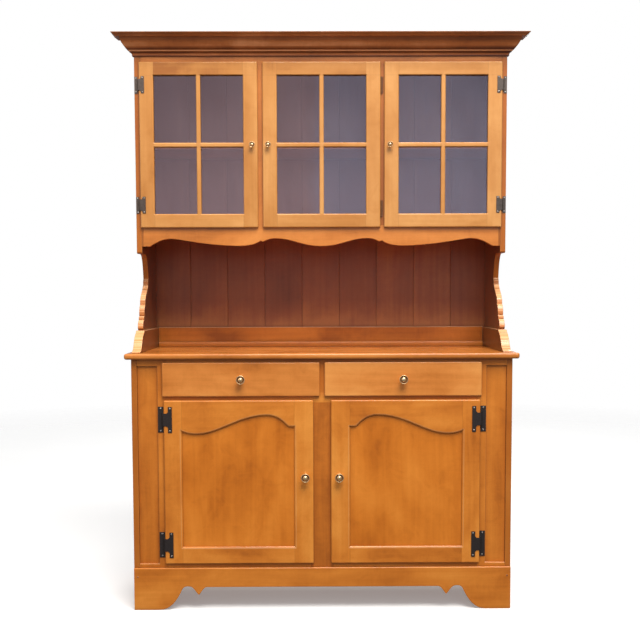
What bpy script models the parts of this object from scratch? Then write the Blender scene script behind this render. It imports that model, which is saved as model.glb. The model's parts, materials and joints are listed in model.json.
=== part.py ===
"""China hutch: a base with two drawers and two cupboard doors, and a glazed three-door top.

Metres, +Z up, front towards -Y. The origin lies on the floor, under the middle of the whole hutch.
"""

import math

import bmesh
import bpy
from mathutils import Matrix, Vector
from mathutils.geometry import interpolate_bezier

# Whole hutch
CASE_WIDTH = 1.233
TOTAL_HEIGHT = 1.880
BASE_DEPTH = 0.460
UPPER_DEPTH = 0.314
SIDE_THICKNESS = 0.018
FRAME_THICKNESS = 0.020
SEAT = 0.0003
GROOVE_DEPTH = 0.005
OVERCUT = 0.002

# Base case
PLINTH_HEIGHT = 0.140
PLINTH_THICKNESS = 0.018
PLINTH_PROUD = 0.006
PLINTH_ROUND = 0.004
PLINTH_RAIL_CLEAR = 0.0755
COUNTER_HEIGHT = 0.842
COUNTER_THICKNESS = 0.019
COUNTER_OVERHANG = 0.020
COUNTER_SIDE_OVERHANG = 0.020
COUNTER_ROUND = 0.007
BASE_TOP_RAIL = 0.022
BASE_MID_RAIL = 0.032
BASE_BOTTOM_RAIL = 0.022
DRAWER_OPENING_HEIGHT = 0.087
CENTRE_STILE_WIDTH = 0.073
DRAWER_DIVIDER_WIDTH = 0.040
PILASTER_WIDTH = 0.094
PILASTER_STRIP = 0.028
PILASTER_FOOT = 0.012
PILASTER_RECESS = 0.007
BASE_BOARD = 0.018
BASE_BACK_THICKNESS = 0.006
BASE_SHELF_RISE = 0.256
BASE_SHELF_SETBACK = 0.040
DECK_THICKNESS = 0.012
GUIDE_HEIGHT = 0.026
GUIDE_WIDTH = 0.020
GUIDE_SHORT_OF_BACK = 0.014

# Upper case
GALLERY_HEIGHT = 0.070
GALLERY_FOOT_THICKNESS = 0.028
GALLERY_RAIL_THICKNESS = 0.019
GALLERY_TOE_SETBACK = 0.012
GALLERY_FLARE = 0.095
STRIP_HEIGHT = 0.018
STRIP_DEPTH = 0.016
PLANK_THICKNESS = 0.009
PLANK_WIDTH = 0.1356
PLANK_GROOVE = 0.0016
OPEN_HEIGHT = 0.256
SIDE_DROP = 0.093
SIDE_CORNER_ROUND = 0.006
FRIEZE_HEIGHT = 0.092
CABINET_BOARD = 0.018
VALANCE_DROP = 0.0695
VALANCE_END_FLAT = 0.025
UPPER_SHELF_THICKNESS = 0.016
UPPER_SHELF_SETBACK = 0.012
UPPER_TOP_RECESS = 0.012
CORNICE_HEIGHT = 0.066

# Doors and drawers
LIP_THICKNESS = 0.010
LEAF_THICKNESS = 0.020
LEAF_ROUND = 0.004
DOOR_LIP = 0.008
DRAWER_LIP = 0.012
REBATE_CLEARANCE = 0.0015
GLAZED_SIDE_MARGIN = 0.016
GLAZED_GAPS = (0.016, 0.0125)
GLAZED_STILE = 0.048
GLAZED_TOP_RAIL = 0.0445
GLAZED_BOTTOM_RAIL = 0.0455
GLAZING_BAR = 0.015
GLAZED_BEVEL = 0.0025
GLASS_SETBACK = 0.009
GLASS_THICKNESS = 0.003
GLASS_LAP = 0.008
PANEL_HINGE_STILE = 0.058
PANEL_LOCK_STILE = 0.062
PANEL_BOTTOM_RAIL = 0.056
PANEL_TOP_RAIL_LEAST = 0.050
PANEL_BEVEL_WIDTH = 0.006
PANEL_BEVEL_DEPTH = 0.005
PANEL_SETBACK = 0.008
PANEL_THICKNESS = 0.009
PANEL_LAP = 0.008
DRAWER_BACK_SPACE = 0.060
DRAWER_BOX_HEIGHT = 0.080
DRAWER_BOX_WALL = 0.011
DRAWER_BOX_FLOOR = 0.006
DRAWER_FLOOR_RAISE = 0.008
DRAWER_SIDE_CLEARANCE = 0.0012

# Hardware
KNOB_RADIUS = 0.0143
KNOB_REACH = 0.0242
SMALL_KNOB_RADIUS = 0.0095
SMALL_KNOB_INSET = 0.0185
KNOB_INSET = 0.0265
CUPBOARD_KNOB_RISE = 0.285
GLAZED_HINGE_INSET = 0.075
GLAZED_MIDDLE_LOW_HINGE_INSET = 0.063
CUPBOARD_HINGE_INSET = 0.0625
PIN_RADIUS = 0.0012
PIN_CLEARANCE = 0.00025

# Cornice section, out from the case and down from its top
CORNICE_OVERHANG = 0.064
CORNICE_RETURN = 0.012
FASCIA_DROP = 0.0115

# Places that follow from the sizes above
FRONT_REACH = LIP_THICKNESS + KNOB_REACH + 2 * SEAT
BASE_FRONT = (FRONT_REACH - BASE_DEPTH) / 2
REAR = BASE_FRONT + BASE_DEPTH
UPPER_FRONT = REAR - UPPER_DEPTH
HALF_CASE = CASE_WIDTH / 2
INNER_HALF = HALF_CASE - SIDE_THICKNESS
CASE_TOP = COUNTER_HEIGHT - COUNTER_THICKNESS - SEAT
PLINTH_TOP = PLINTH_HEIGHT + SEAT
DRAWER_OPENING_TOP = CASE_TOP + SEAT - BASE_TOP_RAIL
DRAWER_OPENING_BOTTOM = DRAWER_OPENING_TOP - DRAWER_OPENING_HEIGHT
CUPBOARD_TOP = DRAWER_OPENING_BOTTOM - BASE_MID_RAIL
CUPBOARD_BOTTOM = PLINTH_HEIGHT + BASE_BOTTOM_RAIL
OPENING_EDGE = INNER_HALF - PILASTER_WIDTH
BASE_BACK_FACE = REAR - BASE_BACK_THICKNESS
PLANK_FACE = REAR - PLANK_THICKNESS
BASE_SHELF_TOP = CUPBOARD_BOTTOM + BASE_SHELF_RISE
DRAWER_BOX_DEPTH = BASE_DEPTH - DRAWER_BACK_SPACE
GALLERY_BOTTOM = COUNTER_HEIGHT + SEAT
GALLERY_TOP = COUNTER_HEIGHT + GALLERY_HEIGHT
GALLERY_TOE = BASE_FRONT + GALLERY_TOE_SETBACK
CASE_UNDERSIDE = GALLERY_TOP + OPEN_HEIGHT
CABINET_FLOOR = CASE_UNDERSIDE + SIDE_DROP
GLAZED_OPENING_TOP = TOTAL_HEIGHT - FRIEZE_HEIGHT
LIGHTS_BOTTOM = CABINET_FLOOR - DOOR_LIP + GLAZED_BOTTOM_RAIL
LIGHTS_TOP = GLAZED_OPENING_TOP + DOOR_LIP - GLAZED_TOP_RAIL
UPPER_SHELF_TOP = (LIGHTS_BOTTOM + LIGHTS_TOP + UPPER_SHELF_THICKNESS) / 2
GLAZED_WIDTH = (CASE_WIDTH - 2 * GLAZED_SIDE_MARGIN - sum(GLAZED_GAPS)) / 3
MULLION_MIDDLE = (GLAZED_WIDTH + sum(GLAZED_GAPS) / 2) / 2
VALANCE_EDGE = CABINET_FLOOR - VALANCE_DROP

# Hinge sizes: half heights of the bars, the body and the knuckles, how far each leaf reaches from the pin,
# the door bar's width, and where the frame bar ends beside the pin
FACE_HINGE_LARGE = {
    "radius": 0.0032, "sheet": 0.0015, "half": 0.0418, "body": 0.0205, "knuckles": 0.0235,
    "door_reach": 0.0305, "frame_reach": 0.0158, "bar": 0.0125, "frame_bar_end": 0.0022,
}
FACE_HINGE_SMALL = {
    "radius": 0.0028, "sheet": 0.0012, "half": 0.0275, "body": 0.0178, "knuckles": 0.0195,
    "door_reach": 0.0210, "frame_reach": 0.0122, "bar": 0.0105, "frame_bar_end": -0.0022,
}
BUTT_HINGE = {
    "radius": 0.0028, "sheet": 0.0012, "half": 0.0269, "body": 0.0269, "knuckles": 0.0269,
    "door_reach": 0.0, "frame_reach": 0.0060, "bar": 0.0, "frame_bar_end": 0.0,
}


def clear_scene():
    for obj in list(bpy.data.objects):
        bpy.data.objects.remove(obj, do_unlink=True)


def material(name, color, roughness, metallic=0.0, alpha=1.0):
    made = bpy.data.materials.new(name)
    made.use_nodes = True
    shader = made.node_tree.nodes["Principled BSDF"]
    shader.inputs["Base Color"].default_value = (*color, 1.0)
    shader.inputs["Roughness"].default_value = roughness
    shader.inputs["Metallic"].default_value = metallic
    shader.inputs["Alpha"].default_value = alpha
    made.diffuse_color = (*color, alpha)
    return made


def world_place(obj):
    """Where an unrotated object's origin lies, through its parents."""
    place = Vector((0, 0, 0))
    while obj:
        place += obj.location
        obj = obj.parent
    return place


def middle_of(mesh):
    low = [min(v.co[k] for v in mesh.vertices) for k in range(3)]
    high = [max(v.co[k] for v in mesh.vertices) for k in range(3)]
    return (Vector(low) + Vector(high)) / 2


def make(name, bm, finish, pivot=None, round_faces=False):
    """Turns a bmesh in hutch coordinates into a named object, parented to its pivot if it moves."""
    bmesh.ops.recalc_face_normals(bm, faces=bm.faces[:])
    mesh = bpy.data.meshes.new(name)
    bm.to_mesh(mesh)
    bm.free()
    if finish:
        mesh.materials.append(finish)
    obj = bpy.data.objects.new(name, mesh)
    bpy.context.scene.collection.objects.link(obj)
    place = middle_of(mesh)
    mesh.transform(Matrix.Translation(-place))
    obj.parent = pivot
    obj.location = place - (world_place(pivot) if pivot else Vector((0, 0, 0)))
    if round_faces:
        mesh.shade_smooth()
        mesh.set_sharp_from_angle(angle=math.radians(35))
    return obj


def helper(name, bm, operation, target):
    """Makes a hidden solid that is cut from its target, or joined to it."""
    tool = make(name, bm, None, pivot=target)
    tool.hide_render = True
    tool.display_type = "WIRE"
    step = target.modifiers.new(name, "BOOLEAN")
    step.operation = operation
    step.solver = "EXACT"
    step.object = tool


def pivot_empty(name, place):
    empty = bpy.data.objects.new(name, None)
    empty.empty_display_size = 0.05
    empty.location = place
    bpy.context.scene.collection.objects.link(empty)
    return empty


def add_box(bm, x, y, z):
    """Adds a closed box, each side given as a pair of limits."""
    size = Vector((x[1] - x[0], y[1] - y[0], z[1] - z[0]))
    middle = Vector((x[0] + x[1], y[0] + y[1], z[0] + z[1])) / 2
    verts = bmesh.ops.create_cube(bm, size=1.0)["verts"]
    bmesh.ops.scale(bm, vec=size, verts=verts)
    bmesh.ops.translate(bm, vec=middle, verts=verts)


def board(name, x, y, z, finish, pivot=None):
    bm = bmesh.new()
    add_box(bm, x, y, z)
    return make(name, bm, finish, pivot)


def cut_boxes(target, name, boxes):
    bm = bmesh.new()
    for x, y, z in boxes:
        add_box(bm, x, y, z)
    helper(name, bm, "DIFFERENCE", target)


def add_loft(bm, loops):
    """Joins closed loops of equal length into one closed body with flat ends."""
    rings = [[bm.verts.new(point) for point in loop] for loop in loops]
    count = len(rings[0])
    for lower, upper in zip(rings, rings[1:]):
        for k in range(count):
            after = (k + 1) % count
            bm.faces.new((lower[k], lower[after], upper[after], upper[k]))
    bm.faces.new(rings[0][::-1])
    bm.faces.new(rings[-1])


def along_x(outline, x):
    return [(x, y, z) for y, z in outline]


def along_y(outline, y):
    return [(x, y, z) for x, z in outline]


def along_z(outline, z):
    return [(x, y, z) for x, y in outline]


def curve(start, start_handle, end_handle, end, steps=8):
    """Points of one Bezier stretch, without its first point."""
    knots = [Vector((*point, 0.0)) for point in (start, start_handle, end_handle, end)]
    points = interpolate_bezier(*knots, steps + 1)
    return [(point.x, point.y) for point in points[1:]]


def mirrored(outline, middle=0.0):
    """The same points reflected about a vertical line, in reverse order."""
    return [(2 * middle - x, z) for x, z in reversed(outline)]


def add_rod(bm, x, y, z, radius, sides=12):
    """Adds an upright round rod between two heights."""
    made = bmesh.ops.create_cone(
        bm, cap_ends=True, segments=sides, radius1=radius, radius2=radius, depth=z[1] - z[0]
    )
    bmesh.ops.translate(bm, vec=(x, y, (z[0] + z[1]) / 2), verts=made["verts"])


def foot_curve(pendant):
    """Edge of a bracket foot, as distance from its outer corner and height, from the floor to the rail."""
    start = (0.082, 0.0)
    shoulder = (0.158, 0.070)
    points = [start] + curve(start, (0.118, 0.0), (0.140, 0.030), shoulder)
    if not pendant:
        landing = (0.166, PLINTH_RAIL_CLEAR)
        return points + curve(shoulder, (0.160, 0.0735), (0.163, PLINTH_RAIL_CLEAR), landing, 3)
    crown = (0.178, 0.078)
    tip = (0.2115, 0.0495)
    landing = (0.237, PLINTH_RAIL_CLEAR)
    points += curve(shoulder, (0.163, 0.0775), (0.170, 0.078), crown, 4)
    points += curve(crown, (0.196, 0.078), (0.198, 0.060), tip, 6)
    points += curve(tip, (0.219, 0.056), (0.226, PLINTH_RAIL_CLEAR), landing, 5)
    return points


def base_side_outline():
    """Base side board seen from its side: notched for the plinth board, with a foot at each end."""
    notch = BASE_FRONT + PLINTH_THICKNESS - PLINTH_PROUD + SEAT
    foot = foot_curve(pendant=False)
    front_foot = [(notch, 0.0)] + [(BASE_FRONT + d, z) for d, z in foot]
    rear_foot = [(REAR - d, z) for d, z in reversed(foot)] + [(REAR, 0.0)]
    return [
        (BASE_FRONT, CASE_TOP),
        (BASE_FRONT, PLINTH_TOP),
        (notch, PLINTH_TOP),
        *front_foot,
        *rear_foot,
        (REAR, CASE_TOP),
    ]


def groove_box(sign, y, z):
    """Box that cuts a groove into the inner face of a side board, for a board at these limits."""
    near = sign * (INNER_HALF - OVERCUT)
    far = sign * (INNER_HALF + GROOVE_DEPTH + SEAT)
    return (min(near, far), max(near, far)), (y[0] - SEAT, y[1] + SEAT), (z[0] - SEAT, z[1] + SEAT)


def grooved_half():
    """Half the width of a board whose ends sit in both side boards' grooves."""
    return INNER_HALF + GROOVE_DEPTH


def base_board_spans():
    """Depth and height limits of each board that sits in the base sides' grooves."""
    behind_frame = BASE_FRONT + FRAME_THICKNESS + SEAT
    back = BASE_BACK_FACE - SEAT
    shelf_front = behind_frame + BASE_SHELF_SETBACK
    return {
        "base_bottom": ((behind_frame, back), (CUPBOARD_BOTTOM - BASE_BOARD, CUPBOARD_BOTTOM)),
        "base_shelf": ((shelf_front, back), (BASE_SHELF_TOP - BASE_BOARD, BASE_SHELF_TOP)),
        "drawer_deck": ((behind_frame, back), (DRAWER_OPENING_BOTTOM - DECK_THICKNESS, DRAWER_OPENING_BOTTOM)),
    }


def upper_board_spans():
    """Depth and height limits of each board that sits in the upper sides' grooves."""
    behind_frame = UPPER_FRONT + FRAME_THICKNESS + SEAT
    back = PLANK_FACE - SEAT
    top = TOTAL_HEIGHT - UPPER_TOP_RECESS
    shelf_bottom = UPPER_SHELF_TOP - UPPER_SHELF_THICKNESS
    return {
        "upper_bottom": ((behind_frame, back), (CABINET_FLOOR - CABINET_BOARD, CABINET_FLOOR)),
        "upper_shelf": ((behind_frame + UPPER_SHELF_SETBACK, back), (shelf_bottom, UPPER_SHELF_TOP)),
        "upper_top": ((behind_frame, back), (top - CABINET_BOARD, top)),
    }


def build_base_sides(finish):
    outline = base_side_outline()
    rear_rebate = ((BASE_BACK_FACE, REAR + OVERCUT), (PLINTH_HEIGHT, CASE_TOP + OVERCUT))
    for side, sign in (("left", -1), ("right", 1)):
        bm = bmesh.new()
        limits = sorted((sign * HALF_CASE, sign * INNER_HALF))
        add_loft(bm, [along_x(outline, x) for x in limits])
        obj = make(f"base_side_{side}", bm, finish)
        grooves = [groove_box(sign, *span) for span in base_board_spans().values()]
        cut_boxes(obj, f"grooves_base_{side}", grooves)
        cut_boxes(obj, f"rebate_base_{side}", [groove_box(sign, *rear_rebate)])


def build_base_boards(finish, back_finish):
    half = grooved_half()
    for name, (y, z) in base_board_spans().items():
        obj = board(name, (-half, half), y, z, finish)
        if name == "drawer_deck":
            join_drawer_guides(obj, y, z)
    board("base_back", (-half, half), (BASE_BACK_FACE, REAR), (PLINTH_HEIGHT + SEAT, CASE_TOP), back_finish)


def join_drawer_guides(deck, y, z):
    """Glues the guide strips that keep each drawer straight onto the deck."""
    height = (z[0] + DECK_THICKNESS / 2, z[1] + GUIDE_HEIGHT)
    depth = (y[0], y[1] - GUIDE_SHORT_OF_BACK)
    half_divider = DRAWER_DIVIDER_WIDTH / 2
    bm = bmesh.new()
    add_box(bm, (-half_divider, half_divider), depth, height)
    for sign in (-1, 1):
        limits = sorted((sign * OPENING_EDGE, sign * (OPENING_EDGE + GUIDE_WIDTH)))
        add_box(bm, limits, depth, height)
    helper("drawer_guides", bm, "UNION", deck)


def base_openings():
    """The holes of the base face frame, as width and height limits."""
    half_divider = DRAWER_DIVIDER_WIDTH / 2
    half_stile = CENTRE_STILE_WIDTH / 2
    drawer = (DRAWER_OPENING_BOTTOM, DRAWER_OPENING_TOP)
    cupboard = (CUPBOARD_BOTTOM, CUPBOARD_TOP)
    return {
        "drawer_left": ((-OPENING_EDGE, -half_divider), drawer),
        "drawer_right": ((half_divider, OPENING_EDGE), drawer),
        "cupboard_left": ((-OPENING_EDGE, -half_stile), cupboard),
        "cupboard_right": ((half_stile, OPENING_EDGE), cupboard),
    }


def build_base_frame(finish):
    half = INNER_HALF - SEAT
    depth = (BASE_FRONT, BASE_FRONT + FRAME_THICKNESS)
    obj = board("base_face_frame", (-half, half), depth, (PLINTH_TOP, CASE_TOP), finish)
    through = (depth[0] - OVERCUT, depth[1] + OVERCUT)
    holes = [(x, through, z) for x, z in base_openings().values()]
    field_depth = (depth[0] - OVERCUT, depth[0] + PILASTER_RECESS)
    field_height = (PLINTH_HEIGHT + PILASTER_FOOT, DRAWER_OPENING_TOP)
    for sign in (-1, 1):
        limits = sorted((sign * (OPENING_EDGE + PILASTER_STRIP), sign * (INNER_HALF + OVERCUT)))
        holes.append((limits, field_depth, field_height))
    cut_boxes(obj, "openings_base_frame", holes)


def build_plinth(finish):
    foot = foot_curve(pendant=True)
    worn = PLINTH_ROUND / 2
    left = [(-HALF_CASE, PLINTH_HEIGHT), (-HALF_CASE, worn), (worn - HALF_CASE, 0.0)]
    left += [(d - HALF_CASE, z) for d, z in foot]
    outline = left + mirrored(left)
    front = BASE_FRONT - PLINTH_PROUD
    bm = bmesh.new()
    add_loft(bm, [along_y(outline, y) for y in (front, front + PLINTH_THICKNESS)])
    edges = [
        edge
        for edge in bm.edges
        if all(abs(v.co.z - PLINTH_HEIGHT) < SEAT and abs(v.co.y - front) < SEAT for v in edge.verts)
    ]
    bmesh.ops.bevel(bm, geom=edges, offset=PLINTH_ROUND, segments=3, profile=0.5, affect="EDGES")
    make("plinth_front", bm, finish, round_faces=True)


def build_countertop(finish):
    half = HALF_CASE + COUNTER_SIDE_OVERHANG
    front = BASE_FRONT - COUNTER_OVERHANG
    bm = bmesh.new()
    add_box(bm, (-half, half), (front, REAR), (COUNTER_HEIGHT - COUNTER_THICKNESS, COUNTER_HEIGHT))
    rounded = [edge for edge in bm.edges if min(v.co.y for v in edge.verts) < front + SEAT]
    bmesh.ops.bevel(bm, geom=rounded, offset=COUNTER_ROUND, segments=4, profile=0.5, affect="EDGES")
    make("countertop", bm, finish, round_faces=True)


def gallery_foot_outline():
    """Foot of the upper case seen from its side: an ogee from the toe up to the ledge."""
    toe = (GALLERY_TOE, GALLERY_BOTTOM)
    heel = GALLERY_TOE + GALLERY_FLARE
    height = GALLERY_TOP - GALLERY_BOTTOM
    waist = (GALLERY_TOE + 0.48 * GALLERY_FLARE, GALLERY_BOTTOM + 0.46 * height)
    nose = (heel - 0.010, GALLERY_TOP - 0.008)
    points = [toe, (toe[0], toe[1] + 0.003)]
    points += curve(points[-1], (toe[0] + 0.030, toe[1] + 0.008), (waist[0] - 0.010, waist[1] - 0.014), waist)
    points += curve(waist, (waist[0] + 0.010, waist[1] + 0.014), (nose[0] - 0.014, nose[1] - 0.004), nose)
    points += curve(nose, (nose[0] + 0.006, nose[1] + 0.003), (heel - 0.001, GALLERY_TOP - 0.002), (heel, GALLERY_TOP), 3)
    return points + [(REAR, GALLERY_TOP), (REAR, GALLERY_BOTTOM)]


def plank_half():
    """Half the width of the plank back, whose edges sit in rebates."""
    return INNER_HALF + GROOVE_DEPTH


def build_gallery(finish):
    outline = gallery_foot_outline()
    inner = HALF_CASE - GALLERY_FOOT_THICKNESS
    rail_back = PLANK_FACE - SEAT
    rail_half = inner + GALLERY_FOOT_THICKNESS / 2
    height = (GALLERY_BOTTOM, GALLERY_TOP)
    bm = bmesh.new()
    add_box(bm, (-rail_half, rail_half), (rail_back - GALLERY_RAIL_THICKNESS, rail_back), height)
    obj = make("gallery", bm, finish)
    bm = bmesh.new()
    for sign in (-1, 1):
        limits = sorted((sign * HALF_CASE, sign * inner))
        add_loft(bm, [along_x(outline, x) for x in limits])
    helper("gallery_feet", bm, "UNION", obj)
    half = plank_half() + SEAT
    rebate = ((-half, half), (rail_back, REAR + OVERCUT), (GALLERY_BOTTOM - OVERCUT, GALLERY_TOP + OVERCUT))
    cut_boxes(obj, "gallery_rebate", [rebate])


def build_gallery_strip(finish):
    """Moulded strip in the corner between the counter and the back rail."""
    back = PLANK_FACE - GALLERY_RAIL_THICKNESS - 2 * SEAT
    front = back - STRIP_DEPTH
    top = GALLERY_BOTTOM + STRIP_HEIGHT
    foot = (front, GALLERY_BOTTOM)
    shoulder = (front, GALLERY_BOTTOM + 0.5 * STRIP_HEIGHT)
    crown = (front + 0.4 * STRIP_DEPTH, top)
    bulge = (front, top - 0.1 * STRIP_HEIGHT)
    outline = [(back, GALLERY_BOTTOM), foot, shoulder]
    outline += curve(shoulder, bulge, (front + 0.1 * STRIP_DEPTH, top), crown, 5)
    outline.append((back, top))
    half = HALF_CASE - GALLERY_FOOT_THICKNESS - SEAT
    bm = bmesh.new()
    add_loft(bm, [along_x(outline, x) for x in (-half, half)])
    make("gallery_strip", bm, finish, round_faces=True)


def scroll_outline():
    """Front edge of an upper side board, from its lower front corner down to the gallery: a deep hollow,
    a fillet and a flat band, a long slope, a band, and two rounds with a notch between them."""
    top = CASE_UNDERSIDE
    low = GALLERY_TOP + SEAT

    def upper(behind_front, below_top):
        return UPPER_FRONT + behind_front, top - below_top

    def lower(behind_front, above_low):
        return UPPER_FRONT + behind_front, low + above_low

    corner = upper(0.0, -SIDE_CORNER_ROUND)
    points = [corner]
    points += curve(corner, upper(0.0, -0.003), upper(0.003, 0.0), upper(SIDE_CORNER_ROUND, 0.0), 3)
    hollow = upper(0.070, 0.0)
    points.append(hollow)
    points += curve(hollow, upper(0.096, 0.002), upper(0.114, 0.028), upper(0.123, 0.078), 10)
    points += [upper(0.123, 0.0835), upper(0.119, 0.0845), upper(0.119, 0.0875)]
    points += [upper(0.1205, 0.0885), upper(0.117, 0.0895), upper(0.1155, 0.104)]
    slope = upper(0.112, 0.105)
    points.append(slope)
    points += curve(slope, upper(0.102, 0.120), lower(0.060, 0.118), lower(0.049, 0.099), 8)
    points.append(lower(0.046, 0.083))
    thumb = lower(0.041, 0.082)
    points.append(thumb)
    points += curve(thumb, lower(0.036, 0.081), lower(0.027, 0.066), lower(0.0265, 0.050), 5)
    points += [lower(0.0285, 0.048), lower(0.0285, 0.046), lower(0.019, 0.045)]
    points += [lower(0.0165, 0.036), lower(0.0175, 0.035), lower(0.0175, 0.0335)]
    toe = lower(0.013, 0.033)
    points.append(toe)
    points += curve(toe, lower(0.004, 0.032), lower(-0.005, 0.020), lower(-0.006, 0.006), 5)
    points += [lower(-0.001, 0.003), lower(-0.001, 0.0)]
    return points


def build_upper_sides(finish):
    outline = [(UPPER_FRONT, TOTAL_HEIGHT), *scroll_outline()]
    outline += [(REAR, GALLERY_TOP + SEAT), (REAR, TOTAL_HEIGHT)]
    rear_rebate = ((PLANK_FACE, REAR + OVERCUT), (GALLERY_TOP - OVERCUT, TOTAL_HEIGHT + OVERCUT))
    for side, sign in (("left", -1), ("right", 1)):
        bm = bmesh.new()
        limits = sorted((sign * HALF_CASE, sign * INNER_HALF))
        add_loft(bm, [along_x(outline, x) for x in limits])
        obj = make(f"upper_side_{side}", bm, finish)
        grooves = [groove_box(sign, *span) for span in upper_board_spans().values()]
        cut_boxes(obj, f"grooves_upper_{side}", grooves)
        cut_boxes(obj, f"rebate_upper_{side}", [groove_box(sign, *rear_rebate)])


def build_upper_boards(finish):
    half = grooved_half()
    for name, (y, z) in upper_board_spans().items():
        board(name, (-half, half), y, z, finish)


def build_plank_back(finish):
    """Plank back in one run, with a V groove in the front face at each joint between planks."""
    half = plank_half()
    joints = []
    x = PLANK_WIDTH / 2
    while x < half - PLANK_WIDTH / 4:
        joints += [-x, x]
        x += PLANK_WIDTH
    outline = [(-half, REAR), (-half, PLANK_FACE)]
    for x in sorted(joints):
        outline += [
            (x - PLANK_GROOVE, PLANK_FACE),
            (x, PLANK_FACE + 1.5 * PLANK_GROOVE),
            (x + PLANK_GROOVE, PLANK_FACE),
        ]
    outline += [(half, PLANK_FACE), (half, REAR)]
    bm = bmesh.new()
    add_loft(bm, [along_z(outline, z) for z in (GALLERY_BOTTOM, TOTAL_HEIGHT)])
    make("plank_back", bm, finish)


def valance_edge():
    """Lower edge of the valance from the middle to its right end: a shallow scallop in front of the
    middle door and a longer one in front of the next, with a nick between them."""
    inner_span = MULLION_MIDDLE
    outer_span = INNER_HALF - SEAT - VALANCE_END_FLAT - MULLION_MIDDLE

    def inner(share, rise):
        return share * inner_span, VALANCE_EDGE + rise

    def outer(share, rise):
        return MULLION_MIDDLE + share * outer_span, VALANCE_EDGE + rise

    crest = inner(0.765, 0.0265)
    points = [inner(0.0, 0.0)]
    points += curve(points[0], inner(0.321, 0.0), inner(0.469, 0.0262), crest, 8)
    points += curve(crest, inner(0.879, 0.0265), inner(0.928, 0.0165), inner(0.970, 0.0155), 5)
    nick = outer(0.0, 0.0190)
    dip = outer(0.204, 0.0012)
    peak = outer(0.808, 0.0255)
    foot = outer(1.0, 0.0)
    points.append(nick)
    points += curve(nick, outer(0.034, 0.0100), outer(0.082, 0.0012), dip, 6)
    points += curve(dip, outer(0.536, 0.0045), outer(0.725, 0.0255), peak, 10)
    points += curve(peak, outer(0.887, 0.0255), outer(0.935, 0.0140), foot, 7)
    points.append((INNER_HALF - SEAT, VALANCE_EDGE))
    return points


def glazed_limits():
    """Width limits of the three glazed doors, left to right."""
    starts = [-HALF_CASE + GLAZED_SIDE_MARGIN]
    for gap in GLAZED_GAPS:
        starts.append(starts[-1] + GLAZED_WIDTH + gap)
    return [(start, start + GLAZED_WIDTH) for start in starts]


def build_upper_frame(finish):
    right = valance_edge()
    outline = mirrored(right)[:-1] + right
    outline += [(INNER_HALF - SEAT, TOTAL_HEIGHT), (SEAT - INNER_HALF, TOTAL_HEIGHT)]
    depth = (UPPER_FRONT, UPPER_FRONT + FRAME_THICKNESS)
    bm = bmesh.new()
    add_loft(bm, [along_y(outline, y) for y in depth])
    obj = make("upper_face_frame", bm, finish)
    through = (depth[0] - OVERCUT, depth[1] + OVERCUT)
    height = (CABINET_FLOOR, GLAZED_OPENING_TOP)
    holes = [((low + DOOR_LIP, high - DOOR_LIP), through, height) for low, high in glazed_limits()]
    cut_boxes(obj, "openings_upper_frame", holes)


def cornice_section():
    """Cornice outline as distance out from the case and height: fascia, ogee, fillet and small cove."""
    out = CORNICE_OVERHANG
    top = TOTAL_HEIGHT
    bottom = TOTAL_HEIGHT - CORNICE_HEIGHT
    soffit = top - FASCIA_DROP
    section = [(0.0, bottom), (0.0, top), (out, top), (out, top - 0.0015)]
    section += [(out - 0.0115, soffit + 0.001), (out - 0.0125, soffit), (out - 0.0225, soffit)]
    ogee_start = (out - 0.0235, soffit - 0.001)
    ogee_end = (out - 0.0455, bottom + 0.0195)
    section.append(ogee_start)
    section += curve(ogee_start, (out - 0.025, top - 0.020), (out - 0.033, bottom + 0.030), ogee_end)
    fillet = out - 0.0495
    section += [(fillet, bottom + 0.0183), (fillet, bottom + 0.015)]
    cove_start = (fillet - 0.0015, bottom + 0.0143)
    cove_end = (0.0050, bottom + 0.005)
    section.append(cove_start)
    section += curve(cove_start, (0.0095, bottom + 0.013), (0.006, bottom + 0.009), cove_end, 5)
    section += [(0.0050, bottom + 0.001), (0.0040, bottom)]
    return section


def build_cornice(finish):
    """Runs the cornice section along the front, with short mitred returns that lap onto the sides."""
    section = cornice_section()
    edge = HALF_CASE + SEAT
    face = UPPER_FRONT - SEAT
    end = face + CORNICE_RETURN
    loops = [
        [(-edge - out, end, z) for out, z in section],
        [(-edge - out, face - out, z) for out, z in section],
        [(edge + out, face - out, z) for out, z in section],
        [(edge + out, end, z) for out, z in section],
    ]
    bm = bmesh.new()
    add_loft(bm, loops)
    make("cornice", bm, finish, round_faces=True)


def add_lipped_leaf(bm, x, z, face, lip):
    """Front with rounded edges and corners that laps over its opening, and the body that sits inside it."""
    front = face - SEAT - LIP_THICKNESS
    add_box(bm, x, (front, front + LIP_THICKNESS), z)
    back = max(bm.faces, key=lambda f: f.calc_center_median().y)
    bmesh.ops.inset_region(bm, faces=[back], thickness=lip + REBATE_CLEARANCE, use_even_offset=True)
    grown = bmesh.ops.extrude_face_region(bm, geom=[back])
    moved = [item for item in grown["geom"] if isinstance(item, bmesh.types.BMVert)]
    bmesh.ops.translate(bm, vec=(0, LEAF_THICKNESS - LIP_THICKNESS, 0), verts=moved)
    bmesh.ops.delete(bm, geom=[back], context="FACES_ONLY")
    rim = [v for v in bm.verts if v.co.y < front + LIP_THICKNESS - SEAT]
    edges = {edge for v in rim for edge in v.link_edges}
    bmesh.ops.bevel(bm, geom=list(edges), offset=LEAF_ROUND, segments=3, profile=0.5, affect="EDGES")


def rectangle(x, z, grow=0.0):
    return [
        (x[0] - grow, z[0] - grow),
        (x[1] + grow, z[0] - grow),
        (x[1] + grow, z[1] + grow),
        (x[0] - grow, z[1] + grow),
    ]


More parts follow.
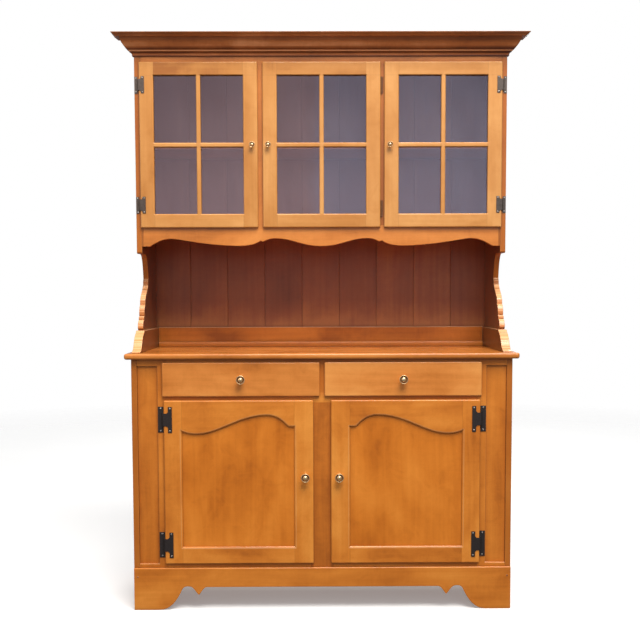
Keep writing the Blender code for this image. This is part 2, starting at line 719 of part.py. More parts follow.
def grown_outline(outline, distance):
    """Moves each point of an outline that runs anticlockwise outwards by one distance."""
    count = len(outline)
    moved = []
    for k, (x, z) in enumerate(outline):
        before = Vector(outline[k - 1])
        after = Vector(outline[(k + 1) % count])
        here = Vector((x, z))
        into = (here - before).normalized()
        away = (after - here).normalized()
        normal_in = Vector((into.y, -into.x))
        normal_away = Vector((away.y, -away.x))
        bisector = normal_in + normal_away
        step = 2 * distance / max(bisector.length_squared, 1.0)
        moved.append((x + bisector.x * step, z + bisector.y * step))
    return moved


def add_bevelled_hole(bm, outline, front, bevel_width, bevel_depth, through):
    """Adds a cutter whose mouth is wider than the hole by a bevel."""
    slope = bevel_width / bevel_depth
    wide = grown_outline(outline, bevel_width + slope * OVERCUT)
    loops = [
        along_y(wide, front - OVERCUT),
        along_y(outline, front + bevel_depth),
        along_y(outline, front + through),
    ]
    add_loft(bm, loops)


def build_glazed_door(side, x, hinge_side, finishes):
    """Glazed door with four lights; hinge_side is -1 for hinges on its left and 1 for its right."""
    wood, glass, brass, metal = finishes
    z = (CABINET_FLOOR - DOOR_LIP, GLAZED_OPENING_TOP + DOOR_LIP)
    hinge = BUTT_HINGE if side == "middle" else FACE_HINGE_SMALL
    low_inset = GLAZED_MIDDLE_LOW_HINGE_INSET if side == "middle" else GLAZED_HINGE_INSET
    name = f"glazed_door_{side}"
    pivot = pivot_empty(f"{name}_pivot", pin_place(x, hinge_side, UPPER_FRONT, hinge, z[0]))
    bm = bmesh.new()
    add_lipped_leaf(bm, x, z, UPPER_FRONT, DOOR_LIP)
    frame = make(f"{name}_frame", bm, wood, pivot, round_faces=True)
    front = UPPER_FRONT - SEAT - LIP_THICKNESS
    lights_x = (x[0] + GLAZED_STILE, x[1] - GLAZED_STILE)
    lights_z = (LIGHTS_BOTTOM, LIGHTS_TOP)
    column = (lights_x[1] - lights_x[0] - GLAZING_BAR) / 2
    row = (lights_z[1] - lights_z[0] - GLAZING_BAR) / 2
    bm = bmesh.new()
    for left in (lights_x[0], lights_x[1] - column):
        for bottom in (lights_z[0], lights_z[1] - row):
            light = rectangle((left, left + column), (bottom, bottom + row))
            add_bevelled_hole(bm, light, front, GLAZED_BEVEL, GLAZED_BEVEL, GLASS_SETBACK + OVERCUT)
    helper(f"{name}_lights", bm, "DIFFERENCE", frame)
    pocket_x = (lights_x[0] - GLASS_LAP, lights_x[1] + GLASS_LAP)
    pocket_z = (lights_z[0] - GLASS_LAP, lights_z[1] + GLASS_LAP)
    pocket_y = (front + GLASS_SETBACK, front + LEAF_THICKNESS + OVERCUT)
    cut_boxes(frame, f"{name}_pocket", [(pocket_x, pocket_y, pocket_z)])
    pane_front = front + GLASS_SETBACK + SEAT
    board(
        f"{name}_glass",
        (pocket_x[0] + SEAT, pocket_x[1] - SEAT),
        (pane_front, pane_front + GLASS_THICKNESS),
        (pocket_z[0] + SEAT, pocket_z[1] - SEAT),
        glass,
        pivot,
    )
    knob_x = x[0] + SMALL_KNOB_INSET if hinge_side > 0 else x[1] - SMALL_KNOB_INSET
    build_knob(f"{name}_knob", knob_x, (z[0] + z[1]) / 2, front, SMALL_KNOB_RADIUS, brass, pivot)
    places = {"upper": z[1] - GLAZED_HINGE_INSET, "lower": z[0] + low_inset}
    for level, height in places.items():
        build_hinge(f"{name}_{level}", x, hinge_side, height, UPPER_FRONT, hinge, metal, pivot)


def scroll_opening(x, z, hinge_side):
    """Opening of a cupboard door, anticlockwise: square below, with a scroll above that rises from the
    hinge side to a crest near the knob side and drops to a short flat."""
    width = x[1] - x[0]
    top = z[1]

    def at(share, drop):
        place = x[0] + share * width if hinge_side < 0 else x[1] - share * width
        return place, top - drop

    dip = at(0.127, 0.061)
    crest = at(0.755, 0.0)
    cusp = at(0.948, 0.037)
    points = [at(0.0, 0.0515)]
    points += curve(points[0], at(0.035, 0.0575), at(0.080, 0.061), dip, 4)
    points += curve(dip, at(0.335, 0.061), at(0.500, 0.0), crest, 12)
    points += curve(crest, at(0.860, 0.0), at(0.905, 0.022), cusp, 8)
    points.append(at(1.0, 0.037))
    if hinge_side < 0:
        points = points[::-1]
    return [(x[0], z[0]), (x[1], z[0])] + points


def build_cupboard_door(side, x, hinge_side, finishes):
    """Framed door with a flat panel and a scrolled top rail."""
    wood, panel_wood, brass, metal = finishes
    z = (CUPBOARD_BOTTOM - DOOR_LIP, CUPBOARD_TOP + DOOR_LIP)
    name = f"cupboard_door_{side}"
    hinge = FACE_HINGE_LARGE
    pivot = pivot_empty(f"{name}_pivot", pin_place(x, hinge_side, BASE_FRONT, hinge, z[0]))
    bm = bmesh.new()
    add_lipped_leaf(bm, x, z, BASE_FRONT, DOOR_LIP)
    frame = make(f"{name}_frame", bm, wood, pivot, round_faces=True)
    front = BASE_FRONT - SEAT - LIP_THICKNESS
    left_stile, right_stile = (PANEL_HINGE_STILE, PANEL_LOCK_STILE)[::-hinge_side]
    hole_x = (x[0] + left_stile, x[1] - right_stile)
    hole_z = (z[0] + PANEL_BOTTOM_RAIL, z[1] - PANEL_TOP_RAIL_LEAST)
    outline = scroll_opening(hole_x, hole_z, hinge_side)
    bm = bmesh.new()
    add_bevelled_hole(bm, outline, front, PANEL_BEVEL_WIDTH, PANEL_BEVEL_DEPTH, PANEL_SETBACK + OVERCUT)
    helper(f"{name}_scroll", bm, "DIFFERENCE", frame)
    pocket_x = (hole_x[0] - PANEL_LAP, hole_x[1] + PANEL_LAP)
    pocket_z = (hole_z[0] - PANEL_LAP, hole_z[1] + PANEL_LAP)
    pocket_y = (front + PANEL_SETBACK, front + LEAF_THICKNESS + OVERCUT)
    cut_boxes(frame, f"{name}_pocket", [(pocket_x, pocket_y, pocket_z)])
    panel_front = front + PANEL_SETBACK + SEAT
    board(
        f"{name}_panel",
        (pocket_x[0] + SEAT, pocket_x[1] - SEAT),
        (panel_front, panel_front + PANEL_THICKNESS),
        (pocket_z[0] + SEAT, pocket_z[1] - SEAT),
        panel_wood,
        pivot,
    )
    knob_x = x[0] + KNOB_INSET if hinge_side > 0 else x[1] - KNOB_INSET
    build_knob(f"{name}_knob", knob_x, z[0] + CUPBOARD_KNOB_RISE, front, KNOB_RADIUS, brass, pivot)
    places = {"upper": z[1] - CUPBOARD_HINGE_INSET, "lower": z[0] + CUPBOARD_HINGE_INSET}
    for level, height in places.items():
        build_hinge(f"{name}_{level}", x, hinge_side, height, BASE_FRONT, hinge, metal, pivot)


def build_drawer(side, opening, finishes):
    """Drawer with a lipped front and an open box that runs on the deck between its guides."""
    wood, box_wood, brass = finishes
    (left, right), (bottom, top) = opening
    name = f"drawer_{side}"
    middle = (left + right) / 2
    pivot = pivot_empty(f"{name}_slide", (middle, BASE_FRONT, (bottom + top) / 2))
    x = (left - DRAWER_LIP, right + DRAWER_LIP)
    z = (bottom - DRAWER_LIP, top + DRAWER_LIP)
    bm = bmesh.new()
    add_lipped_leaf(bm, x, z, BASE_FRONT, DRAWER_LIP)
    make(f"{name}_front", bm, wood, pivot, round_faces=True)
    front = BASE_FRONT - SEAT - LIP_THICKNESS
    box_front = front + LEAF_THICKNESS + SEAT
    box_x = (left + DRAWER_SIDE_CLEARANCE, right - DRAWER_SIDE_CLEARANCE)
    box_y = (box_front, box_front + DRAWER_BOX_DEPTH)
    box_z = (bottom + SEAT, bottom + SEAT + DRAWER_BOX_HEIGHT)
    box = board(f"{name}_box", box_x, box_y, box_z, box_wood, pivot)
    wall = DRAWER_BOX_WALL
    inner_x = (box_x[0] + wall, box_x[1] - wall)
    inner_y = (box_y[0] + wall, box_y[1] - wall)
    floor_bottom = box_z[0] + DRAWER_FLOOR_RAISE
    hollow = (inner_x, inner_y, (floor_bottom + DRAWER_BOX_FLOOR, box_z[1] + OVERCUT))
    under = (inner_x, inner_y, (box_z[0] - OVERCUT, floor_bottom))
    cut_boxes(box, f"{name}_hollow", [hollow, under])
    build_knob(f"{name}_knob", middle, (z[0] + z[1]) / 2, front, KNOB_RADIUS, brass, pivot)


def knob_section():
    """Knob outline for a radius and a reach of 1: foot, neck, rim, dished ring and middle button."""
    foot = [(0.46, 0.0), (0.46, 0.05), (0.34, 0.13), (0.32, 0.34)]
    head = curve((0.32, 0.34), (0.36, 0.56), (0.92, 0.58), (1.0, 0.76), 4)
    rim = curve((1.0, 0.76), (1.02, 0.88), (0.95, 0.94), (0.87, 0.92), 3)
    dish = [(0.72, 0.84), (0.54, 0.83)]
    button = curve((0.54, 0.83), (0.46, 0.94), (0.25, 1.0), (0.08, 1.0), 4)
    return [(0.0, 0.0)] + foot + head + rim + dish + button + [(0.0, 1.0)]


def build_knob(name, x, z, face, radius, finish, pivot):
    """Turned knob standing out from the face of a door or drawer."""
    reach = KNOB_REACH * radius / KNOB_RADIUS
    bm = bmesh.new()
    points = [bm.verts.new((x + r * radius, face - SEAT - d * reach, z)) for r, d in knob_section()]
    edges = [bm.edges.new(pair) for pair in zip(points, points[1:])]
    bmesh.ops.spin(
        bm, geom=points + edges, cent=(x, face, z), axis=(0, -1, 0), angle=math.tau, steps=16, use_merge=True
    )
    bmesh.ops.remove_doubles(bm, verts=bm.verts[:], dist=SEAT / 10)
    make(name, bm, finish, pivot, round_faces=True)


def pin_place(x, hinge_side, face, hinge, height):
    """Where a hinge's pin stands: beside the door's edge and in front of the face frame."""
    edge = x[0] if hinge_side < 0 else x[1]
    return edge + hinge_side * (hinge["radius"] + SEAT), face - SEAT - hinge["radius"], height


def build_hinge(name, x, hinge_side, height, face, hinge, finish, pivot):
    """One hinge: a frame leaf with the outer knuckles and the pin, and a door leaf with the middle one.

    Sheets are drawn as distance from the pin towards the door, and height from the hinge's middle."""
    pin_x, pin_y, _ = pin_place(x, hinge_side, face, hinge, height)
    radius = hinge["radius"]
    sheet = hinge["sheet"]
    body = hinge["body"]
    knuckle = body / 3
    top = hinge["knuckles"]
    inward = -hinge_side

    def across(low, high):
        return sorted((pin_x + inward * low, pin_x + inward * high))

    def outline_at(points):
        return [(pin_x + inward * u, height + v) for u, v in points]

    clear_of_knuckle = -radius - SEAT
    middle = knuckle + SEAT
    frame_bar = hinge["frame_bar_end"]
    frame_half = [
        (clear_of_knuckle, 0.0),
        (clear_of_knuckle, middle),
        (0.0, middle),
        (0.0, body),
        (frame_bar, body),
        (frame_bar, hinge["half"]),
        (-hinge["frame_reach"], hinge["half"]),
        (-hinge["frame_reach"], 0.0),
    ]
    if hinge["half"] == body:
        frame_half.remove((frame_bar, body))
        frame_half.remove((frame_bar, hinge["half"]))
    frame_outline = outline_at(frame_half[1:-1] + [(u, -v) for u, v in reversed(frame_half[1:-1])])
    back = face - SEAT
    bm = bmesh.new()
    add_loft(bm, [along_y(frame_outline, y) for y in (back - sheet, back)])
    frame_leaf = make(f"{name}_frame_leaf", bm, finish)
    bm = bmesh.new()
    add_rod(bm, pin_x, pin_y, (height + middle, height + top), radius)
    add_rod(bm, pin_x, pin_y, (height - top, height - middle), radius)
    helper(f"{name}_knuckles", bm, "UNION", frame_leaf)
    bm = bmesh.new()
    add_rod(bm, pin_x, pin_y, (height - body * 0.9, height + body * 0.9), PIN_RADIUS, 8)
    helper(f"{name}_pin", bm, "UNION", frame_leaf)

    door_front = face - SEAT - LIP_THICKNESS - SEAT
    plate_front = door_front - sheet
    past_knuckle = pin_y - radius - 2 * SEAT
    bm = bmesh.new()
    add_box(bm, across(radius - sheet, radius), (past_knuckle - sheet, pin_y), (height - knuckle, height + knuckle))
    door_leaf = make(f"{name}_door_leaf", bm, finish, pivot)
    bm = bmesh.new()
    wrap_front = plate_front if hinge["door_reach"] else door_front + LEAF_ROUND / 2
    add_box(bm, across(radius - sheet, radius), (wrap_front, past_knuckle), (height - body, height + body))
    helper(f"{name}_wrap", bm, "UNION", door_leaf)
    if hinge["door_reach"]:
        inner_bar = hinge["door_reach"] - hinge["bar"]
        notch = 0.2 * hinge["bar"]
        half = [
            (radius - sheet, body),
            (inner_bar - 2 * notch, body),
            (inner_bar, body + 2 * notch),
            (inner_bar, hinge["half"]),
            (hinge["door_reach"], hinge["half"]),
        ]
        plate = outline_at(half + [(u, -v) for u, v in reversed(half)])
        bm = bmesh.new()
        add_loft(bm, [along_y(plate, y) for y in (plate_front, door_front)])
        helper(f"{name}_plate", bm, "UNION", door_leaf)
    bm = bmesh.new()
    add_rod(bm, pin_x, pin_y, (height - knuckle, height + knuckle), radius)
    helper(f"{name}_middle_knuckle", bm, "UNION", door_leaf)
    bm = bmesh.new()
    reach = (height - knuckle - OVERCUT, height + knuckle + OVERCUT)
    add_rod(bm, pin_x, pin_y, reach, PIN_RADIUS + PIN_CLEARANCE, 8)
    helper(f"{name}_bore", bm, "DIFFERENCE", door_leaf)


def build_all():
    clear_scene()
    maple = material("maple_frame", (0.62, 0.27, 0.07), 0.38)
    panel_maple = material("maple_panel", (0.52, 0.20, 0.045), 0.38)
    dark_maple = material("maple_back", (0.13, 0.045, 0.025), 0.45)
    raw_maple = material("maple_inside", (0.62, 0.42, 0.22), 0.55)
    glass = material("door_glass", (0.80, 0.86, 0.88), 0.04, alpha=0.3)
    brass = material("brass", (0.72, 0.50, 0.22), 0.18, metallic=1.0)
    iron = material("black_iron", (0.03, 0.028, 0.026), 0.5, metallic=0.8)
    bronze = material("aged_bronze", (0.16, 0.12, 0.10), 0.4, metallic=0.9)

    build_base_sides(maple)
    build_base_boards(maple, dark_maple)
    build_base_frame(maple)
    build_plinth(maple)
    build_countertop(maple)
    build_gallery(maple)
    build_gallery_strip(maple)
    build_upper_sides(maple)
    build_upper_boards(maple)
    build_plank_back(dark_maple)
    build_upper_frame(maple)
    build_cornice(maple)

    glazed = (maple, glass, brass, bronze)
    for side, x, hinge_side in zip(("left", "middle", "right"), glazed_limits(), (-1, 1, 1)):
        build_glazed_door(side, x, hinge_side, glazed)
    openings = base_openings()
    cupboard = (maple, panel_maple, brass, iron)
    for side, hinge_side in (("left", -1), ("right", 1)):
        low, high = openings[f"cupboard_{side}"][0]
        build_cupboard_door(side, (low - DOOR_LIP, high + DOOR_LIP), hinge_side, cupboard)
        build_drawer(side, openings[f"drawer_{side}"], (maple, raw_maple, brass))


build_all()
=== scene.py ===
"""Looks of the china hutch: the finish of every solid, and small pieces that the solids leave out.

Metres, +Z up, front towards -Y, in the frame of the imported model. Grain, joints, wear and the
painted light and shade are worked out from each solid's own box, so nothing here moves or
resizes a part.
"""

import json
import math
from collections import namedtuple

import bmesh
import bpy
from mathutils import Matrix, Vector

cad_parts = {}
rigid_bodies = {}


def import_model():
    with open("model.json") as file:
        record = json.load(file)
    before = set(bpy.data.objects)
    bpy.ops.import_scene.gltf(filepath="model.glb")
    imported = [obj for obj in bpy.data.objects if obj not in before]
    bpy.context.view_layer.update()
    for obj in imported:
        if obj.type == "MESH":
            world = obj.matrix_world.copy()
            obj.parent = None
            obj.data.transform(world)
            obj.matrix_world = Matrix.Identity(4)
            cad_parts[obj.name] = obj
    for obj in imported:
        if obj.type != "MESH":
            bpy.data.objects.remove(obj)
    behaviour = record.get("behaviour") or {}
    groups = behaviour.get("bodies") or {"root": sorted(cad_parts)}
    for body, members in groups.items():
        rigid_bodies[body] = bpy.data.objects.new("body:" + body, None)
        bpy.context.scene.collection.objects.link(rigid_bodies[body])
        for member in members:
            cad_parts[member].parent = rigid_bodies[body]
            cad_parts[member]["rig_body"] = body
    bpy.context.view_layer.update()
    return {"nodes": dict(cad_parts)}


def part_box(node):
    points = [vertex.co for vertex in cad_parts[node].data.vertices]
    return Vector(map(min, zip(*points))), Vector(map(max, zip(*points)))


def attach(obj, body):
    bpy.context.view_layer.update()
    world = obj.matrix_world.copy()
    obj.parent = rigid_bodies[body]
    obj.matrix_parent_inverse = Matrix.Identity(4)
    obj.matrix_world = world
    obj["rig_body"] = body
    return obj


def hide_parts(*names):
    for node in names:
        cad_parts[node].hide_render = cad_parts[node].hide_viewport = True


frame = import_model()

# Camera, as fitted to the photograph's edges
CAMERA_PLACE = (-0.0291, -3.5321, 1.035)
CAMERA_PITCH_DOWN = math.radians(4.21)
CAMERA_YAW = math.radians(0.39)
CAMERA_ROLL = math.radians(-0.16)
FOCAL_PIXELS = 1030.0
IMAGE_SIDE = 640.0
OPTICAL_AXIS_ROW = 368.9
SENSOR_WIDTH = 36.0

# Area lights: name, place, target, width and height, power, colour. A high key from the right, a
# bright band in front above eye level that the upper glass mirrors, and fills.
LIGHTS = (
    ("key_softbox", (0.9, -3.4, 5.6), (0.0, -0.1, 0.9), (3.4, 2.8), 358.0, (1.0, 0.97, 0.93)),
    ("overhead_strip", (0.2, -1.1, 3.6), (0.0, -0.1, 0.9), (2.6, 0.7), 34.0, (1.0, 0.97, 0.93)),
    ("front_band_left", (-1.5, -5.0, 2.5), (-1.5, 0.0, 2.5), (3.0, 2.0), 15.0, (1.0, 0.90, 0.88)),
    ("front_band_right", (1.6, -5.0, 2.5), (1.6, 0.0, 2.5), (3.2, 2.0), 20.0, (0.70, 0.86, 1.0)),
    ("left_fill", (-4.2, -2.4, 2.2), (0.0, 0.0, 1.0), (1.8, 2.4), 30.0, (1.0, 0.98, 0.96)),
    ("rear_fill", (0.6, 4.2, 3.4), (0.0, 0.2, 1.0), (2.6, 2.0), 90.0, (1.0, 1.0, 1.0)),
)

# Grey of the surroundings, from straight down at 0 to straight up at 1
SKY = ((0.0, 0.18), (0.42, 0.17), (0.60, 0.25), (1.0, 0.44))

FLOOR_RADIUS = 7.0
FLOOR_SIDES = 96
FLOOR_GREYS = ((0.3, 0.86), (0.7, 0.89))
FLOOR_GLOW = 0.22
FLOOR_OPACITY = ((0.22, 1.0), (0.9, 0.0))

# Sizes that the solids' boxes don't give
GLASS_LAP = 0.0077
GLAZING_BAR = 0.015
DOOR_LIP = 0.008
DRAWER_LIP = 0.012
PLANK_WIDTH = 0.1356
SIDES = ("left", "middle", "right")
INNER_BOARDS = ("base_bottom", "base_shelf", "drawer_deck", "upper_bottom", "upper_top")
NAILED_BOARDS = ("gallery", "upper_bottom", "upper_shelf", "upper_top")

# Modifiers that join a solid's faces before its edges are eased
WELD_DISTANCE = 1e-5
FLAT_ANGLE = math.radians(0.5)

# Edges eased on the solids
EASED_WOOD = 0.0009
EASED_METAL = 0.0003
EASED_STEPS = 2
EASED_ABOVE_ANGLE = math.radians(40)
NORMAL_WEIGHT = 60
SHARP_ANGLE = math.radians(35)

# Lines drawn in the finish, by half their width. Nails sit at a share of a plank's width from its
# middle, and a dovetail's half width at its end is a share of the pitch.
BOARD_LINE = 0.00035
MITRE_LINE = 0.0004
SEAM_LINE = 0.0005
TAIL_LINE = 0.0003
NAIL_RADIUS = 0.0022
NAIL_PLACE = 0.30
REAR_FACE_DEPTH = 0.001
TURNED_SIDEWAYS = 0.7
TAILS_PER_CORNER = 3
TAIL_LENGTH = 0.012
TAIL_SHARE = 0.40
TAIL_SLOPE = 0.18
END_GRAIN_SHADE = -0.22

# Figure of the wood. Each field is a noise: repeats per metre on the two axes across the grain and
# along it, then detail, roughness and distortion.
WANDER = ((2.0, 2.0, 1.1), 2.0, 0.5, 0.0)
FIELDS = {
    "cloud": ((8.0, 8.0, 3.6), 3.0, 0.5, 0.4),
    "patch": ((17.0, 17.0, 15.0), 4.0, 0.6, 0.8),
    "growth": ((75.0, 75.0, 2.2), 3.0, 0.5, 0.0),
    "fibre": ((1100.0, 1100.0, 20.0), 2.0, 0.5, 0.0),
    "curl": ((16.0, 16.0, 90.0), 2.0, 0.6, 1.2),
    "fleck": ((2200.0, 2200.0, 380.0), 0.0, 0.5, 0.0),
}
WANDER_REACH = 0.05

# Shifts that give each seed, each board of a solid and a moulding's sides their own piece of it
SEED_SHIFT = (1.37, 0.71, 2.93)
BOARD_SHIFT = (0.77, 1.31, 0.53)
SIDE_SHIFT = (0.4, 1.9, 0.8)

# How the fields move the level at which the tones are read. Cloud, patch and smudge grow with the
# board's figure.
MIDDLE_LEVEL = 0.59
CLOUD_SWING = 1.15
PATCH_SWING = 0.30
SMUDGE_PLACES = (0.50, 0.78)
SMUDGE_DEPTH = 0.22
GROWTH_SWING = 0.32
FIBRE_SWING = 0.15
CURL_SWING = 0.11
TONE_PLACES = (0.10, 0.38, 0.62, 0.92)
PORES = ((0.66, 0.0), (0.76, 0.22))

# Planks: spread of their tones, and a paler band just above the counter: painted bounce light
PLANK_SPREAD = 0.24
PAINTED_BOUNCE_HEIGHTS = (0.90, 1.01)
PAINTED_BOUNCE_GAIN = 0.90
PAINTED_BOUNCE_SCALE = 9.0

# Painted shade on faces turned towards the open middle, and the stain and painted highlight of
# sawn edges, by the direction that they face
TURNED_INWARD = ((0.6, 0.0), (0.8, 1.0))
EDGE_NOT_SIDE = ((0.3, 1.0), (0.6, 0.0))
EDGE_TURNED_UP = ((0.05, 0.0), (0.50, 0.75))
SAW_LINES = ((0.40, 0.30), (0.56, 1.20))
SAW_LINE_SCALE = 130.0
SAW_HIGHLIGHT_LIFT = (1.05, 0.20)
SAW_STAIN = 0.6

# Edges and corners: how wide rounded edges look in their shading and lightening, how painted
# shade darkens corners and gaps, and how edges are lightened, partly by wear and partly by a
# painted highlight where they face up
EDGE_GLINT = 0.0024
RAIL_GLINT = 0.0038
CORNICE_GLINT = 0.0009
CORNER_SHADE_DEPTH = 0.012
CORNER_SHADE_LIMIT = 0.7
CORNER_SHADE_SOFTNESS = 0.2
CORNER_SHADE_AMOUNT = 0.72
CORNER_SHADE_DARKENING = 0.72
RUB_AND_HIGHLIGHT_BY_TURN = ((0.80, 0.85), (0.985, 0.0))
RUB_AND_HIGHLIGHT_BY_HEIGHT = ((0.0, 0.30), (0.45, 1.0))
RUB_AND_HIGHLIGHT_PLACES = (0.35, 0.60)
RUB_AND_HIGHLIGHT_LEAST = 0.6
RUB_AND_HIGHLIGHT_LIFT = (1.2, 0.30)
JOINT_DARKENING = 0.35
JOINT_AMOUNT = 0.35

# Lacquer: what fibres and clouds add to its roughness, and what stands up or lies sunk in it
FIBRE_ROUGHNESS = 0.10
CLOUD_ROUGHNESS = 0.16
FIBRE_HEIGHT = 0.35
GROWTH_HEIGHT = 0.5
JOINT_DEPTH = 2.0
WOOD_RELIEF = (0.22, 0.0004)

# Cornice: how strongly its painted light and shade show, and how light it is by share of its
# height, with 0.5 as plain: painted shade in hollows, painted highlights on fillets
CORNICE_PAINTED_LIGHT_STRENGTH = 1.1
CORNICE_PAINTED_LIGHT = (
    (0.00, 0.16), (0.05, 0.26), (0.10, 0.60), (0.14, 0.28), (0.20, 0.04), (0.23, 1.00),
    (0.275, 1.00), (0.30, 0.08), (0.36, 0.32), (0.44, 0.66), (0.56, 0.60), (0.68, 0.42),
    (0.79, 0.42), (0.84, 0.66), (0.91, 0.40), (1.00, 0.74),
)

# Wood tones as linear colours, from the dark end of the figure to the light one
HONEY = ((0.360, 0.092, 0.008), (0.590, 0.170, 0.016), (0.720, 0.230, 0.026), (0.850, 0.315, 0.048))
# Wheat: a paler copy of honey for the drawers, counter and upper frame, as painted sheen from above
WHEAT_SHEEN = ((0.390, 0.112, 0.014), (0.620, 0.197, 0.031), (0.750, 0.262, 0.050), (0.860, 0.350, 0.082))
# Pale: the glazed doors' tones, partly their own paler colour, partly painted sheen from above
PALE_SHEEN = ((0.380, 0.125, 0.020), (0.540, 0.210, 0.040), (0.620, 0.262, 0.062), (0.730, 0.345, 0.100))
AMBER = ((0.410, 0.100, 0.006), (0.600, 0.164, 0.011), (0.710, 0.208, 0.017), (0.810, 0.262, 0.028))
MAROON = ((0.165, 0.051, 0.026), (0.270, 0.087, 0.040), (0.350, 0.117, 0.050), (0.500, 0.190, 0.066))
# Umber: the painted shade on faces that look into the open middle
UMBER_SHADE = ((0.075, 0.024, 0.010), (0.150, 0.048, 0.018), (0.210, 0.068, 0.026), (0.290, 0.096, 0.038))
# Russet's light end is pale for the painted highlights on the cornice's fillets
RUSSET = ((0.150, 0.034, 0.006), (0.360, 0.094, 0.018), (0.520, 0.152, 0.036), (0.800, 0.315, 0.120))
BARE = ((0.380, 0.190, 0.075), (0.560, 0.320, 0.145), (0.640, 0.400, 0.200), (0.720, 0.490, 0.270))
DRAWER_TONES = {"left": 0.01, "right": 0.15}

# Glass: haze, how much more of it lies at a pane's foot as a painted reflection that lightens
# the lower glass, the smears in it as a field like those of the wood, how it shines when seen
# aslant, its waves, and the tint of what it mirrors
GLASS_HAZE = 0.110
SHINE_FALL = 0.045
SMEAR = ((6.0, 6.0, 2.5), 4.0, 0.6)
SMEAR_SWING = 0.07
SMEAR_ROUGHNESS = 0.06
GLASS_ROUGHNESS = 0.03
ASLANT_FROM = 0.25
ASLANT_SHINE = 0.6
GLASS_WAVE = (7.0, 1.0)
GLASS_RELIEF = (0.15, 0.002)
GLASS_TINTS = ((0.2, (0.53, 0.42, 0.49)), (0.8, (0.63, 0.50, 0.57)))

# Metal: scales of its dull film and its specks against its grain, and how hollows gather the film
FILM_SCALE = 0.35
SPECK_SCALE = 6.0
FILM_BASE = 0.20
FILM_IN_HOLLOWS = 1.2
FILM_RAMP = ((0.1, 0.0), (0.9, 1.0))
SPECK_ROUGHNESS = 0.06
SPECK_HEIGHT = 0.15
METAL_RELIEF_DISTANCE = 0.0006

# Knob: radius in the units of its profile. Rim and dome are arcs: centre, radius, first and last
# angle in degrees, and steps.
DRAWN_KNOB_RADIUS = 14.3
KNOB_FOOT_AND_CUP = (
    (0.0, 0.0), (7.4, 0.0), (7.6, 0.5), (7.2, 1.2), (5.9, 1.7), (4.9, 2.8), (4.4, 4.6), (4.4, 6.6),
    (4.9, 8.8), (6.2, 11.0), (8.6, 13.0), (11.2, 14.9), (13.2, 17.0), (14.1, 18.8),
)
KNOB_RIM = ((13.15, 20.0), 1.15, 0, 175, 8)
KNOB_DISH = ((11.7, 18.6), (11.1, 17.4), (10.3, 16.6), (9.3, 16.2), (8.4, 16.4), (8.25, 18.0))
KNOB_DOME = ((0.0, 14.6), 9.4, 31, 88, 11)
KNOB_HEIGHT = 24.0
KNOB_STEPS = 48
SMALL_STEPS = 20

# Screws in the hinge leaves: distance from a leaf's ends, radius, width of the bar that they stand
# in on a door leaf and on a frame leaf, and thickness of the frame leaf's sheet
Screws = namedtuple("Screws", "inset radius door_bar frame_bar sheet")
CUPBOARD_SCREWS = Screws(0.0056, 0.0027, 0.0125, 0.018, 0.0015)
GLAZED_SCREWS = Screws(0.0046, 0.0022, 0.0105, 0.010, 0.0012)

# Screw head: depth below and rim above the leaf, shares of its radius for dome and slot, and how
# the slots turn from leaf to leaf and from screw to screw
SCREW_SUNK = 0.0006
SCREW_RIM = 0.00015
SCREW_DOME = ((0.94, 0.16), (0.80, 0.30), (0.56, 0.41), (0.28, 0.47), (0.0, 0.49))
SLOT_HALF_WIDTH = 0.13
SLOT_DEPTH = 0.2
TURN_PER_LEAF = 0.9
TURN_PER_SCREW = 2.1

# Strips that hold glass and panels: width, gap to the pane, gap to the frame's back, rounded corner
STOP_WIDTH = 0.0074
STOP_PANE_GAP = 0.0001
STOP_BACK_GAP = 0.0003
STOP_ROUND = 0.005
STOP_ROUND_SHARE = 0.7
STOP_CORNER_CUT = 0.3

# Pegs at the plinth's ends: distance in from the end, distance down from its top, turned profile
PEG_INSET = 0.012
PEG_DROP = 0.030
PEG_PROFILE = ((0.0, -0.0015), (0.0031, -0.0015), (0.0031, 0.0001), (0.0027, 0.0003), (0.0, 0.0004))

# A board in a solid that is glued up: its limits in x and z, the way its grain runs, its tone
Board = namedtuple("Board", "x z grain tone")


